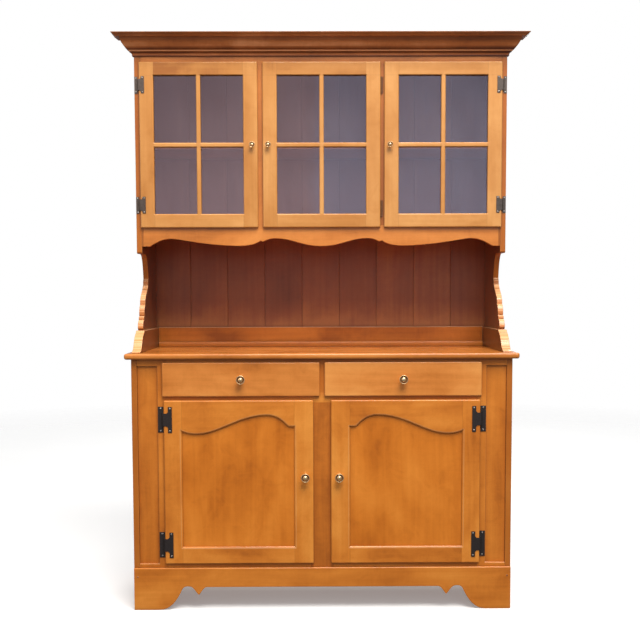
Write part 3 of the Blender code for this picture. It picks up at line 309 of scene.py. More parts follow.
class Graph:
    """Builds the nodes of one material or world with short calls."""

    def __init__(self, owner, shader="Principled BSDF"):
        owner.use_nodes = True
        self.owner = owner
        self.tree = owner.node_tree
        self.shader = self.tree.nodes[shader]

    def put(self, socket, value):
        if isinstance(value, bpy.types.NodeSocket):
            self.tree.links.new(value, socket)
        elif value is not None:
            socket.default_value = value

    def node(self, kind, *inputs, **settings):
        made = self.tree.nodes.new(kind)
        for key, value in settings.items():
            setattr(made, key, value)
        for socket, value in zip(made.inputs, inputs):
            self.put(socket, value)
        return made

    def feed(self, name, value):
        """Drives one of the shader's sockets."""
        self.put(self.shader.inputs[name], value)

    def set(self, **values):
        """Uniform values, straight on the shader's own sockets."""
        for key, value in values.items():
            self.shader.inputs[key.replace("_", " ")].default_value = value

    def math(self, operation, a, b=None, c=None):
        return self.node("ShaderNodeMath", a, b, c, operation=operation).outputs[0]

    def product(self, first, *others):
        for other in others:
            first = self.math("MULTIPLY", first, other)
        return first

    def share(self, value, start, end, reach=1.0):
        """0 where the value is at the start, growing to reach at the end."""
        length = end - start
        return self.math("MULTIPLY_ADD", value, reach / length, -reach * start / length)

    def vary(self, field, swing, base):
        """The base, moved up and down by a field that lies around one half."""
        return self.math("MULTIPLY_ADD", self.math("SUBTRACT", field, 0.5), swing, base)

    def within(self, value, limits):
        """1 where the value lies between the limits, else 0."""
        low, high = limits
        return self.math("COMPARE", value, (low + high) / 2, (high - low) / 2)

    def vector(self, x, y, z):
        return self.node("ShaderNodeCombineXYZ", x, y, z).outputs[0]

    def vector_math(self, operation, *vectors, output=0):
        return self.node("ShaderNodeVectorMath", *vectors, operation=operation).outputs[output]

    def split(self, vector):
        return tuple(self.node("ShaderNodeSeparateXYZ", vector).outputs)

    def place(self):
        return self.node("ShaderNodeTexCoord").outputs["Object"]

    def true_normal(self):
        return self.node("ShaderNodeNewGeometry").outputs["True Normal"]

    def shut_in(self, distance):
        """How shut in a spot is: 0 in the open, towards 1 in a corner."""
        hollow = self.node("ShaderNodeAmbientOcclusion", None, distance, samples=6)
        return self.math("SUBTRACT", 1.0, hollow.outputs["AO"])

    def noise(self, vector, scale, detail=3.0, roughness=0.5, distortion=0.0):
        made = self.node("ShaderNodeTexNoise")
        self.put(made.inputs["Vector"], vector)
        made.inputs["Scale"].default_value = scale
        made.inputs["Detail"].default_value = detail
        made.inputs["Roughness"].default_value = roughness
        made.inputs["Distortion"].default_value = distortion
        return made.outputs["Fac"]

    def field(self, vector, stretch, *character):
        return self.noise(self.vector_math("MULTIPLY", vector, stretch), 1.0, *character)

    def blend(self, factor, a, b, kind="FLOAT"):
        """Mix of two numbers, vectors or colours."""
        made = self.node("ShaderNodeMix", data_type=kind)
        place = {"FLOAT": 2, "VECTOR": 4, "RGBA": 6}[kind]
        self.put(made.inputs[0], factor)
        self.put(made.inputs[place], a)
        self.put(made.inputs[place + 1], b)
        return made.outputs[{"FLOAT": 0, "VECTOR": 1, "RGBA": 2}[kind]]

    def ramp(self, factor, stops):
        """Colour ramp from (place, linear colour or grey) pairs."""
        made = self.node("ShaderNodeValToRGB", factor)
        elements = made.color_ramp.elements
        while len(elements) < len(stops):
            elements.new(0.5)
        for element, (place, colour) in zip(elements, stops):
            element.position = place
            element.color = (*(colour if isinstance(colour, tuple) else (colour,) * 3), 1.0)
        return made.outputs["Color"]

    def relief(self, height, strength, distance, normal=None):
        """Bumps on the surface."""
        bump = self.node("ShaderNodeBump")
        bump.inputs["Strength"].default_value = strength
        bump.inputs["Distance"].default_value = distance
        self.put(bump.inputs["Height"], height)
        self.put(bump.inputs["Normal"], normal)
        self.feed("Normal", bump.outputs["Normal"])


def span(node, axis):
    """Lowest and highest value of a solid along an axis."""
    low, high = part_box(node)
    return low[axis], high[axis]


def shrunk(limits, amount):
    return limits[0] + amount, limits[1] - amount


def dark(tones, share=1.0):
    """The tones' dark end, deepened."""
    return (*(c * share for c in tones[0]), 1.0)


def light(tones, bleach):
    """The tones' light end, raised by a gain and a lift, for edge wear and painted highlights."""
    gain, lift = bleach
    return (*(min(1.0, c * gain + lift) for c in tones[-1]), 1.0)


def grain_place(g, xyz, grain):
    """Coordinates whose third axis runs along the grain."""
    x, y, z = xyz
    order = {"X": (z, y, x), "Y": (x, z, y), "Z": (x, y, z)}
    return g.vector(*order[grain])


def wood(
    name, tones, grain, seed, *, tone=0.0, figure=1.0, gloss=0.34, boards=(), planks=None,
    mitre=None, painted_bands=None, tails=None, shade_inside=False, end_lines=None, glint=EDGE_GLINT, rub_and_highlight=1.0,
):
    """Stained and lacquered maple, with its own piece of the figure for each seed.

    tone       lighter above 0, darker below
    figure     how strongly clouds and patches show
    gloss      roughness of the lacquer
    boards     boards that the solid is glued up from; later ones cover earlier ones
    planks     heights of the nails, for a back made of planks
    mitre      half width and front of the case that a mitred moulding goes round
    painted_bands  lowest and highest height of a moulding's painted bands of light and shade
    tails      box of a dovetailed drawer
    shade_inside  painted shade on the faces that look into the open middle
    end_lines  how darkly upright sawn edges are stained, or None where no sawn edge shows
    glint      how wide rounded edges look, in their shading and their lightening
    rub_and_highlight  how strongly edges are lightened: partly wear, partly a painted highlight
    """
    g = Graph(bpy.data.materials.new(name))
    xyz = g.split(g.place())
    x, _, z = xyz
    along = g.vector_math("ADD", grain_place(g, xyz, grain), [seed * shift for shift in SEED_SHIFT])
    shade, joint = tone, 0.0
    for k, board in enumerate(boards, 1):
        inside = g.product(g.within(x, board.x), g.within(z, board.z))
        first, second, third = (k * shift for shift in BOARD_SHIFT)
        offset = (first + seed, second, third - seed)
        own = g.vector_math("ADD", grain_place(g, xyz, board.grain), offset)
        along = g.blend(inside, along, own, "VECTOR")
        shade = g.blend(inside, shade, tone + board.tone)
        joint = g.math("MAXIMUM", joint, board_edge(g, x, z, board))
    if planks:
        along, shade = planked(g, xyz, along)
        joint = plank_lines(g, xyz, planks)
    if tails:
        joint, shade = dovetailed(g, xyz, shade, *tails)
    if mitre:
        along, joint = mitred(g, xyz, along, *mitre)
    if painted_bands:
        # Painted light and shade in bands across the moulding
        shade = g.vary(g.ramp(g.share(z, *painted_bands), CORNICE_PAINTED_LIGHT), CORNICE_PAINTED_LIGHT_STRENGTH, shade)

    wander = g.field(along, *WANDER)
    along = g.vector_math("ADD", along, g.vector(g.product(wander, WANDER_REACH), 0.0, 0.0))
    fields = {key: g.field(along, *character) for key, character in FIELDS.items()}
    level = g.math("ADD", figure_level(g, fields, figure), shade)
    colour = g.ramp(level, list(zip(TONE_PLACES, tones)))
    colour = g.blend(g.ramp(fields["fleck"], PORES), colour, dark(tones), "RGBA")
    if shade_inside:
        colour = painted_inside_shade(g, level, colour, x)
    if end_lines is not None:
        colour = sawn_edge(g, colour, z, end_lines, tones)
    rounded = g.node("ShaderNodeBevel", glint, samples=4).outputs[0]
    colour = paint_shade_wear_and_highlight(g, colour, tones, fields["patch"], rounded, rub_and_highlight)
    colour = g.blend(g.product(joint, JOINT_AMOUNT), colour, dark(tones, JOINT_DARKENING), "RGBA")
    g.feed("Base Color", colour)
    lacquer(g, fields, gloss, joint, rounded)
    return g.owner


def board_edge(g, x, z, board):
    """Thin line along both long edges of a board."""
    upright = board.grain == "Z"
    across, run = (x, z) if upright else (z, x)
    limits, length = (board.x, board.z) if upright else (board.z, board.x)
    low, high = limits
    off = g.math("ABSOLUTE", g.math("SUBTRACT", across, (low + high) / 2))
    return g.product(g.math("COMPARE", off, (high - low) / 2, BOARD_LINE), g.within(run, length))


def planked(g, xyz, along):
    """Figure and tone of each plank of the back, which is paler low down on its front: painted
    bounce light from the counter.
    """
    x, y, z = xyz
    number = g.math("FLOOR", g.math("MULTIPLY_ADD", x, 1 / PLANK_WIDTH, 0.5))
    own = g.node("ShaderNodeTexWhiteNoise", None, number, noise_dimensions="1D").outputs["Value"]
    along = g.vector_math("ADD", along, g.vector(number, number, own))
    shade = g.math("MULTIPLY_ADD", own, PLANK_SPREAD, -PLANK_SPREAD / 2)
    # Painted bounce light from the counter, on the planks' front just above it
    low, high = PAINTED_BOUNCE_HEIGHTS
    rear = span("plank_back", 1)[1] - REAR_FACE_DEPTH
    painted_bounce = g.product(
        g.share(z, high, low),
        g.math("LESS_THAN", z, high),
        g.math("LESS_THAN", y, rear),
        g.noise(g.vector(x, y, z), PAINTED_BOUNCE_SCALE, 2.0),
    )
    return along, g.math("MULTIPLY_ADD", painted_bounce, PAINTED_BOUNCE_GAIN, shade)


def plank_lines(g, xyz, nails):
    """Seams between the planks, and on their back the sunk nails that hold them."""
    x, y, z = xyz
    place = g.math("FRACT", g.math("MULTIPLY_ADD", x, 1 / PLANK_WIDTH, 0.5))
    from_middle = g.math("ABSOLUTE", g.math("SUBTRACT", place, 0.5))
    seam = g.math("GREATER_THAN", from_middle, 0.5 - SEAM_LINE / PLANK_WIDTH)
    sideways = g.product(g.math("SUBTRACT", from_middle, NAIL_PLACE), PLANK_WIDTH)
    behind = g.math("GREATER_THAN", y, span("plank_back", 1)[1] - REAR_FACE_DEPTH)
    for height in nails:
        off = g.vector(sideways, 0.0, g.math("SUBTRACT", z, height))
        apart = g.vector_math("LENGTH", off, output="Value")
        head = g.product(g.math("LESS_THAN", apart, NAIL_RADIUS), behind)
        seam = g.math("MAXIMUM", seam, head)
    return seam


def dovetailed(g, xyz, shade, low, high):
    """Dovetails at a drawer box's corners, seen on its sides: dark end grain and slanted lines."""
    _, y, z = xyz
    from_end = g.math("MINIMUM", g.math("SUBTRACT", y, low.y), g.math("SUBTRACT", high.y, y))
    pitch = (high.z - low.z) / TAILS_PER_CORNER
    place = g.math("FRACT", g.math("MULTIPLY_ADD", z, 1 / pitch, -low.z / pitch))
    from_middle = g.product(g.math("ABSOLUTE", g.math("SUBTRACT", place, 0.5)), pitch)
    half = g.math("MULTIPLY_ADD", from_end, -TAIL_SLOPE, pitch * TAIL_SHARE)
    outside = g.math("GREATER_THAN", from_middle, half)
    facing = g.split(g.true_normal())[0]
    near = g.product(
        g.math("LESS_THAN", from_end, TAIL_LENGTH),
        g.math("GREATER_THAN", from_end, 0.0),
        g.math("GREATER_THAN", g.math("ABSOLUTE", facing), TURNED_SIDEWAYS),
    )
    line = g.math("COMPARE", from_middle, half, TAIL_LINE)
    end = g.math("COMPARE", from_end, TAIL_LENGTH, TAIL_LINE)
    line = g.product(g.math("MAXIMUM", line, end), near)
    return line, g.math("MULTIPLY_ADD", g.product(outside, near), END_GRAIN_SHADE, shade)


def mitred(g, xyz, along, half, face):
    """Grain that turns the corner with a moulding: along X at the front, along Y down each side."""
    x, y, z = xyz
    past_side = g.math("SUBTRACT", g.math("ABSOLUTE", x), half)
    past_front = g.math("SUBTRACT", face, y)
    difference = g.math("SUBTRACT", past_side, past_front)
    side = g.math("GREATER_THAN", difference, 0.0)
    turned = g.vector_math("ADD", g.vector(x, z, y), SIDE_SHIFT)
    return g.blend(side, along, turned, "VECTOR"), g.math("COMPARE", difference, 0.0, MITRE_LINE)


def figure_level(g, fields, figure):
    """How light the wood is, from its clouds, smudges, patches, growth lines, fibres and curl."""
    start, end = SMUDGE_PLACES
    smudge = g.ramp(fields["patch"], ((start, 0.0), (end, SMUDGE_DEPTH * figure)))
    level = g.vary(fields["cloud"], CLOUD_SWING * figure, MIDDLE_LEVEL)
    level = g.math("SUBTRACT", level, smudge)
    level = g.vary(fields["patch"], PATCH_SWING * figure, level)
    level = g.vary(fields["growth"], GROWTH_SWING, level)
    level = g.vary(fields["fibre"], FIBRE_SWING, level)
    return g.vary(fields["curl"], CURL_SWING, level)


def painted_inside_shade(g, level, colour, x):
    """Painted shade, in umber, on the faces that look into the open middle."""
    facing = g.split(g.true_normal())[0]
    inward = g.product(facing, g.product(g.math("SIGN", x), -1.0))
    stain = g.ramp(level, list(zip(TONE_PLACES, UMBER_SHADE)))
    # Painted shade on the faces turned inward
    return g.blend(g.ramp(inward, TURNED_INWARD), colour, stain, "RGBA")


def sawn_edge(g, colour, height, stain, tones):
    """Sawn edge of a scrolled board: stained where upright, and a painted highlight in lines where
    it faces up.
    """
    across, _, upward = g.split(g.true_normal())
    edge = g.ramp(g.math("ABSOLUTE", across), EDGE_NOT_SIDE)
    lines = g.noise(g.vector(0.0, 0.0, height), SAW_LINE_SCALE, 2.0)
    # Painted highlight where the sawn edge faces up, broken into lines
    amount = g.product(g.ramp(upward, EDGE_TURNED_UP), g.ramp(lines, SAW_LINES))
    colour = g.blend(g.product(edge, stain), colour, dark(tones), "RGBA")
    return g.blend(g.product(edge, amount), colour, light(tones, SAW_HIGHLIGHT_LIFT), "RGBA")


def paint_shade_wear_and_highlight(g, colour, tones, patch, rounded, rub_and_highlight):
    """Painted shade that darkens corners and gaps, and edges lightened partly by wear and partly by
    a painted highlight where they face up.
    """
    # Painted shade: corners, creases and gaps darkened by how shut in they are
    corner_shade = g.math("SMOOTH_MIN", g.shut_in(CORNER_SHADE_DEPTH), CORNER_SHADE_LIMIT, CORNER_SHADE_SOFTNESS)
    corner_shade = g.product(corner_shade, CORNER_SHADE_AMOUNT)
    colour = g.blend(corner_shade, colour, dark(tones, CORNER_SHADE_DARKENING), "RGBA")
    # Edges lightened, most where they face up: partly wear, partly a painted highlight
    turned = g.vector_math("DOT_PRODUCT", rounded, g.true_normal(), output="Value")
    start, end = RUB_AND_HIGHLIGHT_PLACES
    edge = g.product(
        g.ramp(turned, RUB_AND_HIGHLIGHT_BY_TURN),
        g.ramp(patch, ((start, RUB_AND_HIGHLIGHT_LEAST * rub_and_highlight), (end, rub_and_highlight))),
        g.ramp(g.split(rounded)[2], RUB_AND_HIGHLIGHT_BY_HEIGHT),
    )
    return g.blend(edge, colour, light(tones, RUB_AND_HIGHLIGHT_LIFT), "RGBA")


def lacquer(g, fields, gloss, joint, rounded):
    """Satin coat over the fibres, with sunk joints and softened edges."""
    rough = g.vary(fields["fibre"], FIBRE_ROUGHNESS, gloss)
    g.feed("Roughness", g.vary(fields["cloud"], CLOUD_ROUGHNESS, rough))
    growth = g.product(fields["growth"], GROWTH_HEIGHT)
    height = g.math("MULTIPLY_ADD", fields["fibre"], FIBRE_HEIGHT, growth)
    height = g.math("SUBTRACT", height, g.product(joint, JOINT_DEPTH))
    g.relief(height, *WOOD_RELIEF, rounded)
    g.set(Coat_Weight=0.28, Coat_Roughness=0.18, IOR=1.42)


def glass_finish():
    """Old window glass: mostly clear, with a tinted and wavy shine, more of it towards its foot as a
    painted reflection.
    """
    g = Graph(bpy.data.materials.new("door_glass_pane"))
    place = g.place()
    smear = g.field(place, *SMEAR)
    aslant = g.node("ShaderNodeLayerWeight", ASLANT_FROM).outputs["Fresnel"]
    low, high = span("glazed_door_left_glass", 2)
    # Painted reflection: more shine towards the pane's foot
    lower_shine = g.share(g.split(place)[2], high, low, SHINE_FALL)
    haze = g.math("ADD", g.vary(smear, SMEAR_SWING, GLASS_HAZE), lower_shine)
    g.feed("Alpha", g.math("MULTIPLY_ADD", aslant, ASLANT_SHINE, haze))
    g.feed("Base Color", g.ramp(smear, GLASS_TINTS))
    g.feed("Roughness", g.math("MULTIPLY_ADD", smear, SMEAR_ROUGHNESS, GLASS_ROUGHNESS))
    g.relief(g.noise(place, *GLASS_WAVE), *GLASS_RELIEF)
    g.set(Metallic=1.0)
    return g.owner


def metal(
    name, clean, dull, *, roughness, relief, grain_scale, metallic=1.0, film_depth=0.004,
    film_rough=0.22,
):
    """Worked metal: a dull film in the hollows and patches, cleaner where hands and edges wear it.
    """
    g = Graph(bpy.data.materials.new(name))
    place = g.place()
    hammer = g.noise(place, grain_scale, 2.0, 0.45)
    film = g.noise(place, grain_scale * FILM_SCALE, 3.0, 0.6)
    speck = g.noise(place, grain_scale * SPECK_SCALE, 1.0)
    amount = g.vary(film, 1.0, FILM_BASE)
    amount = g.math("MULTIPLY_ADD", g.shut_in(film_depth), FILM_IN_HOLLOWS, amount)
    amount = g.ramp(amount, FILM_RAMP)
    g.feed("Base Color", g.blend(amount, (*clean, 1.0), (*dull, 1.0), "RGBA"))
    rough = g.math("MULTIPLY_ADD", amount, film_rough, roughness)
    g.feed("Roughness", g.math("MULTIPLY_ADD", speck, SPECK_ROUGHNESS, rough))
    height = g.math("MULTIPLY_ADD", speck, SPECK_HEIGHT, hammer)
    g.relief(height, relief, METAL_RELIEF_DISTANCE)
    g.set(Metallic=metallic)
    return g.owner


def dress(node, finish):
    """Gives a solid its finish."""
    obj = frame["nodes"][node]
    for slot in obj.material_slots:
        slot.material = finish
    if not obj.material_slots:
        obj.data.materials.append(finish)


def ease(node, width):
    """Eases a solid's sharp edges with modifiers, without touching its mesh."""
    obj = frame["nodes"][node]
    weld = obj.modifiers.new("weld", "WELD")
    weld.merge_threshold = WELD_DISTANCE
    flat = obj.modifiers.new("flat", "DECIMATE")
    flat.decimate_type = "DISSOLVE"
    flat.angle_limit = FLAT_ANGLE
    soft = obj.modifiers.new("eased_edges", "BEVEL")
    soft.width = width
    soft.segments = EASED_STEPS
    soft.limit_method = "ANGLE"
    soft.angle_limit = EASED_ABOVE_ANGLE
    soft.use_clamp_overlap = False
    soft.loop_slide = False
    normals = obj.modifiers.new("normals", "WEIGHTED_NORMAL")
    normals.weight = NORMAL_WEIGHT


def cupboard_boards(side):
    """Stiles the full height of a cupboard door, with rails between them."""
    door = f"cupboard_door_{side}"
    door_x, door_z = span(f"{door}_frame", 0), span(f"{door}_frame", 2)
    hole_x = shrunk(span(f"{door}_panel", 0), GLASS_LAP)
    return [
        Board((door_x[0], hole_x[0]), door_z, "Z", 0.03),
        Board((hole_x[1], door_x[1]), door_z, "Z", 0.10),
    ]


def glazed_boards(side):
    """Top rail, upright glazing bar and stiles of a glazed door."""
    door = f"glazed_door_{side}"
    door_x, door_z = span(f"{door}_frame", 0), span(f"{door}_frame", 2)
    lights_x = shrunk(span(f"{door}_glass", 0), GLASS_LAP)
    lights_z = shrunk(span(f"{door}_glass", 2), GLASS_LAP)
    middle = (lights_x[0] + lights_x[1]) / 2
    return [
        # The top rail is darker: painted shadow of the cornice
        Board(door_x, (lights_z[1], door_z[1]), "X", -0.28),
        Board((middle - GLAZING_BAR / 2, middle + GLAZING_BAR / 2), lights_z, "Z", -0.03),
        Board((door_x[0], lights_x[0]), door_z, "Z", -0.06),
        Board((lights_x[1], door_x[1]), door_z, "Z", 0.0),
    ]


def base_frame_boards():
    """Centre stile, drawer divider and the two wide stiles of the base."""
    x, z = span("base_face_frame", 0), span("base_face_frame", 2)
    left = span("cupboard_door_left_frame", 0)
    right = span("cupboard_door_right_frame", 0)
    drawers = span("drawer_left_front", 2)
    rail = (span("cupboard_door_left_frame", 2)[1] - DOOR_LIP, drawers[0] + DRAWER_LIP)
    divider = (
        span("drawer_left_front", 0)[1] - DRAWER_LIP,
        span("drawer_right_front", 0)[0] + DRAWER_LIP,
    )
    return [
        # The centre stile is darker: painted shade from the proud doors on each side
        Board((left[1] - DOOR_LIP, right[0] + DOOR_LIP), (z[0], rail[0]), "Z", -0.36),
        Board(divider, (rail[1], drawers[1] - DRAWER_LIP), "Z", -0.04),
        Board((x[0], left[0] + DOOR_LIP), z, "Z", -0.16),
        Board((right[1] - DOOR_LIP, x[1]), z, "Z", -0.08),
    ]


def upper_frame_boards():
    """Top rail, the two mullions and the narrow strips at the ends of the upper frame."""
    x, z = span("upper_face_frame", 0), span("upper_face_frame", 2)
    doors = [shrunk(span(f"glazed_door_{side}_frame", 0), DOOR_LIP) for side in SIDES]
    opening_z = shrunk(span("glazed_door_left_frame", 2), DOOR_LIP)
    return [
        Board(x, (opening_z[1], z[1]), "X", -0.16),
        Board((doors[0][1], doors[1][0]), opening_z, "Z", -0.04),
        Board((doors[1][1], doors[2][0]), opening_z, "Z", -0.18),
        # The end strips are darker: painted shade
        Board((x[0], doors[0][0]), z, "Z", -0.30),
        Board((doors[2][1], x[1]), z, "Z", -0.26),
    ]


def gallery_boards():
    """The two scrolled feet beside the gallery's back rail."""
    x, z = span("gallery", 0), span("gallery", 2)
    strip = span("gallery_strip", 0)
    # The right foot is darker than the left: painted shade
    return [Board((x[0], strip[0]), z, "Y", 0.0), Board((strip[1], x[1]), z, "Y", -0.24)]


def finish_case():
    """Finishes of the wooden solids that there is one of. Each has its own seed and tone."""
    moulding = (span("upper_side_right", 0)[1], span("upper_face_frame", 1)[0])
    nails = [sum(span(node, 2)) / 2 for node in NAILED_BOARDS]
    made = {
        "base_face_frame": wood("maple_base_frame", HONEY, "X", 1.0, boards=base_frame_boards()),
        "upper_face_frame": wood(
            "maple_upper_frame", WHEAT_SHEEN, "X", 2.0, tone=-0.16, boards=upper_frame_boards()
        ),
        "gallery": wood(
            "maple_gallery", HONEY, "X", 3.0, tone=-0.20, boards=gallery_boards(), shade_inside=True,
            end_lines=0.0, glint=RAIL_GLINT, rub_and_highlight=1.2,
        ),
        "gallery_strip": wood(
            "maple_strip", HONEY, "X", 3.6, tone=-0.16, glint=RAIL_GLINT, rub_and_highlight=1.2
        ),
        "countertop": wood(
            "maple_counter", WHEAT_SHEEN, "X", 4.0, tone=-0.20, figure=0.8, gloss=0.28, rub_and_highlight=0.45
        ),
        "plinth_front": wood("maple_plinth", HONEY, "X", 5.0, tone=0.03),
        "cornice": wood(
            "maple_cornice", RUSSET, "X", 6.0, gloss=0.38, mitre=moulding,
            painted_bands=span("cornice", 2), glint=CORNICE_GLINT, rub_and_highlight=0.5,
        ),
        "plank_back": wood("maple_planks", MAROON, "Z", 7.0, figure=0.6, gloss=0.42, planks=nails),
        "base_back": wood("maple_base_back", MAROON, "Z", 8.0, tone=0.05, figure=0.8, gloss=0.5),
        "upper_shelf": wood("maple_upper_shelf", MAROON, "X", 36.0, figure=0.8, gloss=0.42),
    }
    for k, node in enumerate(INNER_BOARDS):
        made[node] = wood(f"maple_{node}", HONEY, "X", 30.0 + k, tone=-0.10, figure=0.8, gloss=0.42)
    return made


def finish_pairs():
    """Finishes of the wooden solids that come in twos and threes."""
    made = {}
    for k, side in enumerate(("left", "right")):
        made[f"base_side_{side}"] = wood(
            f"maple_base_side_{side}", HONEY, "Z", 10.0 + k, end_lines=SAW_STAIN
        )
        made[f"upper_side_{side}"] = wood(
            f"maple_upper_side_{side}", HONEY, "Z", 12.0 + k, tone=-0.10, shade_inside=True,
            end_lines=SAW_STAIN,
        )
        made[f"cupboard_door_{side}_frame"] = wood(
            f"maple_cupboard_{side}", HONEY, "X", 14.0 + k, tone=-0.02, figure=1.3,
            boards=cupboard_boards(side),
        )
        made[f"cupboard_door_{side}_panel"] = wood(
            f"maple_panel_{side}", AMBER, "Z", 16.0 + k, tone=0.02, figure=1.5
        )
        made[f"drawer_{side}_front"] = wood(
            f"maple_drawer_{side}", WHEAT_SHEEN, "X", 18.0 + k, tone=DRAWER_TONES[side], figure=1.1
        )
        made[f"drawer_{side}_box"] = wood(
            f"maple_drawer_box_{side}", BARE, "Y", 20.0 + k, figure=0.6, gloss=0.5,
            tails=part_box(f"drawer_{side}_box"),
        )
    for k, side in enumerate(SIDES):
        made[f"glazed_door_{side}_frame"] = wood(
            f"maple_glazed_{side}", PALE_SHEEN, "X", 22.0 + k, tone=0.10, figure=1.2,
            boards=glazed_boards(side), rub_and_highlight=0.6,
        )
    return made


def finish_wooden_parts():
    """Dresses every wooden solid, and builds the wooden pieces that the solids leave out."""
    for node, finish in {**finish_case(), **finish_pairs()}.items():
        dress(node, finish)
        ease(node, EASED_WOOD)
    build_stops({
        side: wood(f"maple_stops_{side}", HONEY, "X", 40.0 + k, tone=-0.04)
        for k, side in enumerate(SIDES)
    })
    build_plinth_pegs(wood("maple_pegs", RUSSET, "X", 44.0, tone=-0.2))


def finish_hardware():
    """Dresses glass and hinges, and builds the knobs and screws."""
    brass = metal(
        "polished_brass", (0.96, 0.70, 0.39), (0.36, 0.155, 0.050), roughness=0.24, relief=0.04,
        grain_scale=260.0, metallic=0.85, film_depth=0.009, film_rough=0.40,
    )
    iron = metal(
        "black_iron", (0.060, 0.048, 0.046), (0.026, 0.020, 0.018), roughness=0.40, relief=0.55,
        grain_scale=420.0, metallic=0.7,
    )
    bronze = metal(
        "aged_bronze", (0.17, 0.135, 0.115), (0.06, 0.045, 0.038), roughness=0.36, relief=0.45,
        grain_scale=420.0,
    )
    browned = metal(
        "browned_steel", (0.30, 0.13, 0.060), (0.13, 0.050, 0.024), roughness=0.42, relief=0.3,
        grain_scale=420.0, metallic=0.7,
    )
    steel = metal(
        "dull_steel", (0.62, 0.56, 0.52), (0.22, 0.18, 0.16), roughness=0.28, relief=0.2,
        grain_scale=600.0,
    )
    glass = glass_finish()
    for node in frame["nodes"]:
        if node.endswith("_glass"):
            dress(node, glass)
        elif node.endswith("_leaf"):
            upper = browned if "middle" in node else bronze
            dress(node, iron if node.startswith("cupboard") else upper)
            ease(node, EASED_METAL)
    build_knobs(brass)
    build_hinge_screws(steel)


def new_piece(name, bm, finish, body):
    """Turns a bmesh in the hutch's frame into a piece that rides on a body."""
    bmesh.ops.recalc_face_normals(bm, faces=bm.faces[:])
    mesh = bpy.data.meshes.new(name)
    bm.to_mesh(mesh)
    bm.free()
    mesh.materials.append(finish)
    mesh.shade_smooth()
    mesh.set_sharp_from_angle(angle=SHARP_ANGLE)
    obj = bpy.data.objects.new(name, mesh)
    bpy.context.scene.collection.objects.link(obj)
    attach(obj, body)
    return obj


def turned_towards(outward):
    """Rotation that takes +Z to a direction."""
    return Vector(outward).to_track_quat("Z", "Y").to_matrix().to_4x4()


def add_turned(bm, place, outward, profile, steps):
    """Adds a lathe-turned form. The profile gives distance from the axis and height along it."""
    matrix = Matrix.Translation(place) @ turned_towards(outward)
    turns = [math.tau * k / steps for k in range(steps)]
    rings = []
    for r, h in profile:
        ring = [(r * math.cos(t), r * math.sin(t), h) for t in turns] if r > 0 else [(0.0, 0.0, h)]
        rings.append([bm.verts.new(matrix @ Vector(point)) for point in ring])
    for lower, upper in zip(rings, rings[1:]):
        for k in range(steps):
            after = (k + 1) % steps
            corners = [lower[k % len(lower)], lower[after % len(lower)]]
            corners += [upper[after % len(upper)], upper[k % len(upper)]]
            bm.faces.new(dict.fromkeys(corners))


def arc(centre, radius, start, end, steps):
    """Points of a circular arc in the profile plane; angles in degrees."""
    turns = [math.radians(start + (end - start) * k / steps) for k in range(steps + 1)]
    return [(centre[0] + radius * math.cos(t), centre[1] + radius * math.sin(t)) for t in turns]


def knob_profile(radius):
    """Turned brass knob: flange, waisted neck, cup with a rolled rim, and a dome in the cup."""
    unit = radius / DRAWN_KNOB_RADIUS
    points = [*KNOB_FOOT_AND_CUP, *arc(*KNOB_RIM), *KNOB_DISH, *arc(*KNOB_DOME), (0.0, KNOB_HEIGHT)]
    return [(r * unit, h * unit) for r, h in points]


def build_knobs(brass):
    """A turned knob in place of each plain one, from the same spot on its door or drawer."""
    for node, obj in frame["nodes"].items():
        if not node.endswith("_knob"):
            continue
        low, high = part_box(node)
        middle = (low + high) / 2
        bm = bmesh.new()
        profile = knob_profile((high.x - low.x) / 2)
        add_turned(bm, (middle.x, high.y, middle.z), (0, -1, 0), profile, KNOB_STEPS)
        knob = new_piece(f"{node}_turned", bm, brass, obj["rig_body"])
        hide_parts(node)


def add_screw(bm, place, radius, turn):
    """Adds a domed screw head that faces forward, with a sunk slot."""
    head = bmesh.new()
    profile = [(0.0, -SCREW_SUNK), (radius, -SCREW_SUNK), (radius, SCREW_RIM)]
    profile += [(radius * r, radius * h) for r, h in SCREW_DOME]
    add_turned(head, (0, 0, 0), (0, 0, 1), profile, SMALL_STEPS)
    half = radius * SLOT_HALF_WIDTH
    for side in (-half, half):
        everything = head.verts[:] + head.edges[:] + head.faces[:]
        bmesh.ops.bisect_plane(head, geom=everything, plane_co=(side, 0, 0), plane_no=(1, 0, 0))
    centres = [(face, face.calc_center_median()) for face in head.faces]
    slot = [face for face, centre in centres if abs(centre.x) < half and centre.z > 0]
    sunk = bmesh.ops.extrude_face_region(head, geom=slot)
    verts = [item for item in sunk["geom"] if isinstance(item, bmesh.types.BMVert)]
    bmesh.ops.delete(head, geom=slot, context="FACES_ONLY")
    bmesh.ops.translate(head, vec=(0, 0, -radius * SLOT_DEPTH), verts=verts)
    spin = Matrix.Rotation(turn, 4, "Z")
    matrix = Matrix.Translation(place) @ turned_towards((0, -1, 0)) @ spin
    bmesh.ops.transform(head, matrix=matrix, verts=head.verts[:])
    made = bpy.data.meshes.new("screw")
    head.to_mesh(made)
    head.free()
    bm.from_mesh(made)
    bpy.data.meshes.remove(made)


def hinge_screw_places(node, screws):
    """Where the screws of a hinge leaf go, from the leaf's own box."""
    low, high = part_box(node)
    on_left = "_left_" in node
    if "door_leaf" in node:
        x = high.x - screws.door_bar / 2 if on_left else low.x + screws.door_bar / 2
        y = low.y
    else:
        x = low.x + screws.frame_bar / 2 if on_left else high.x - screws.frame_bar / 2
        y = high.y - screws.sheet
    return [(x, y, z) for z in (low.z + screws.inset, high.z - screws.inset)]


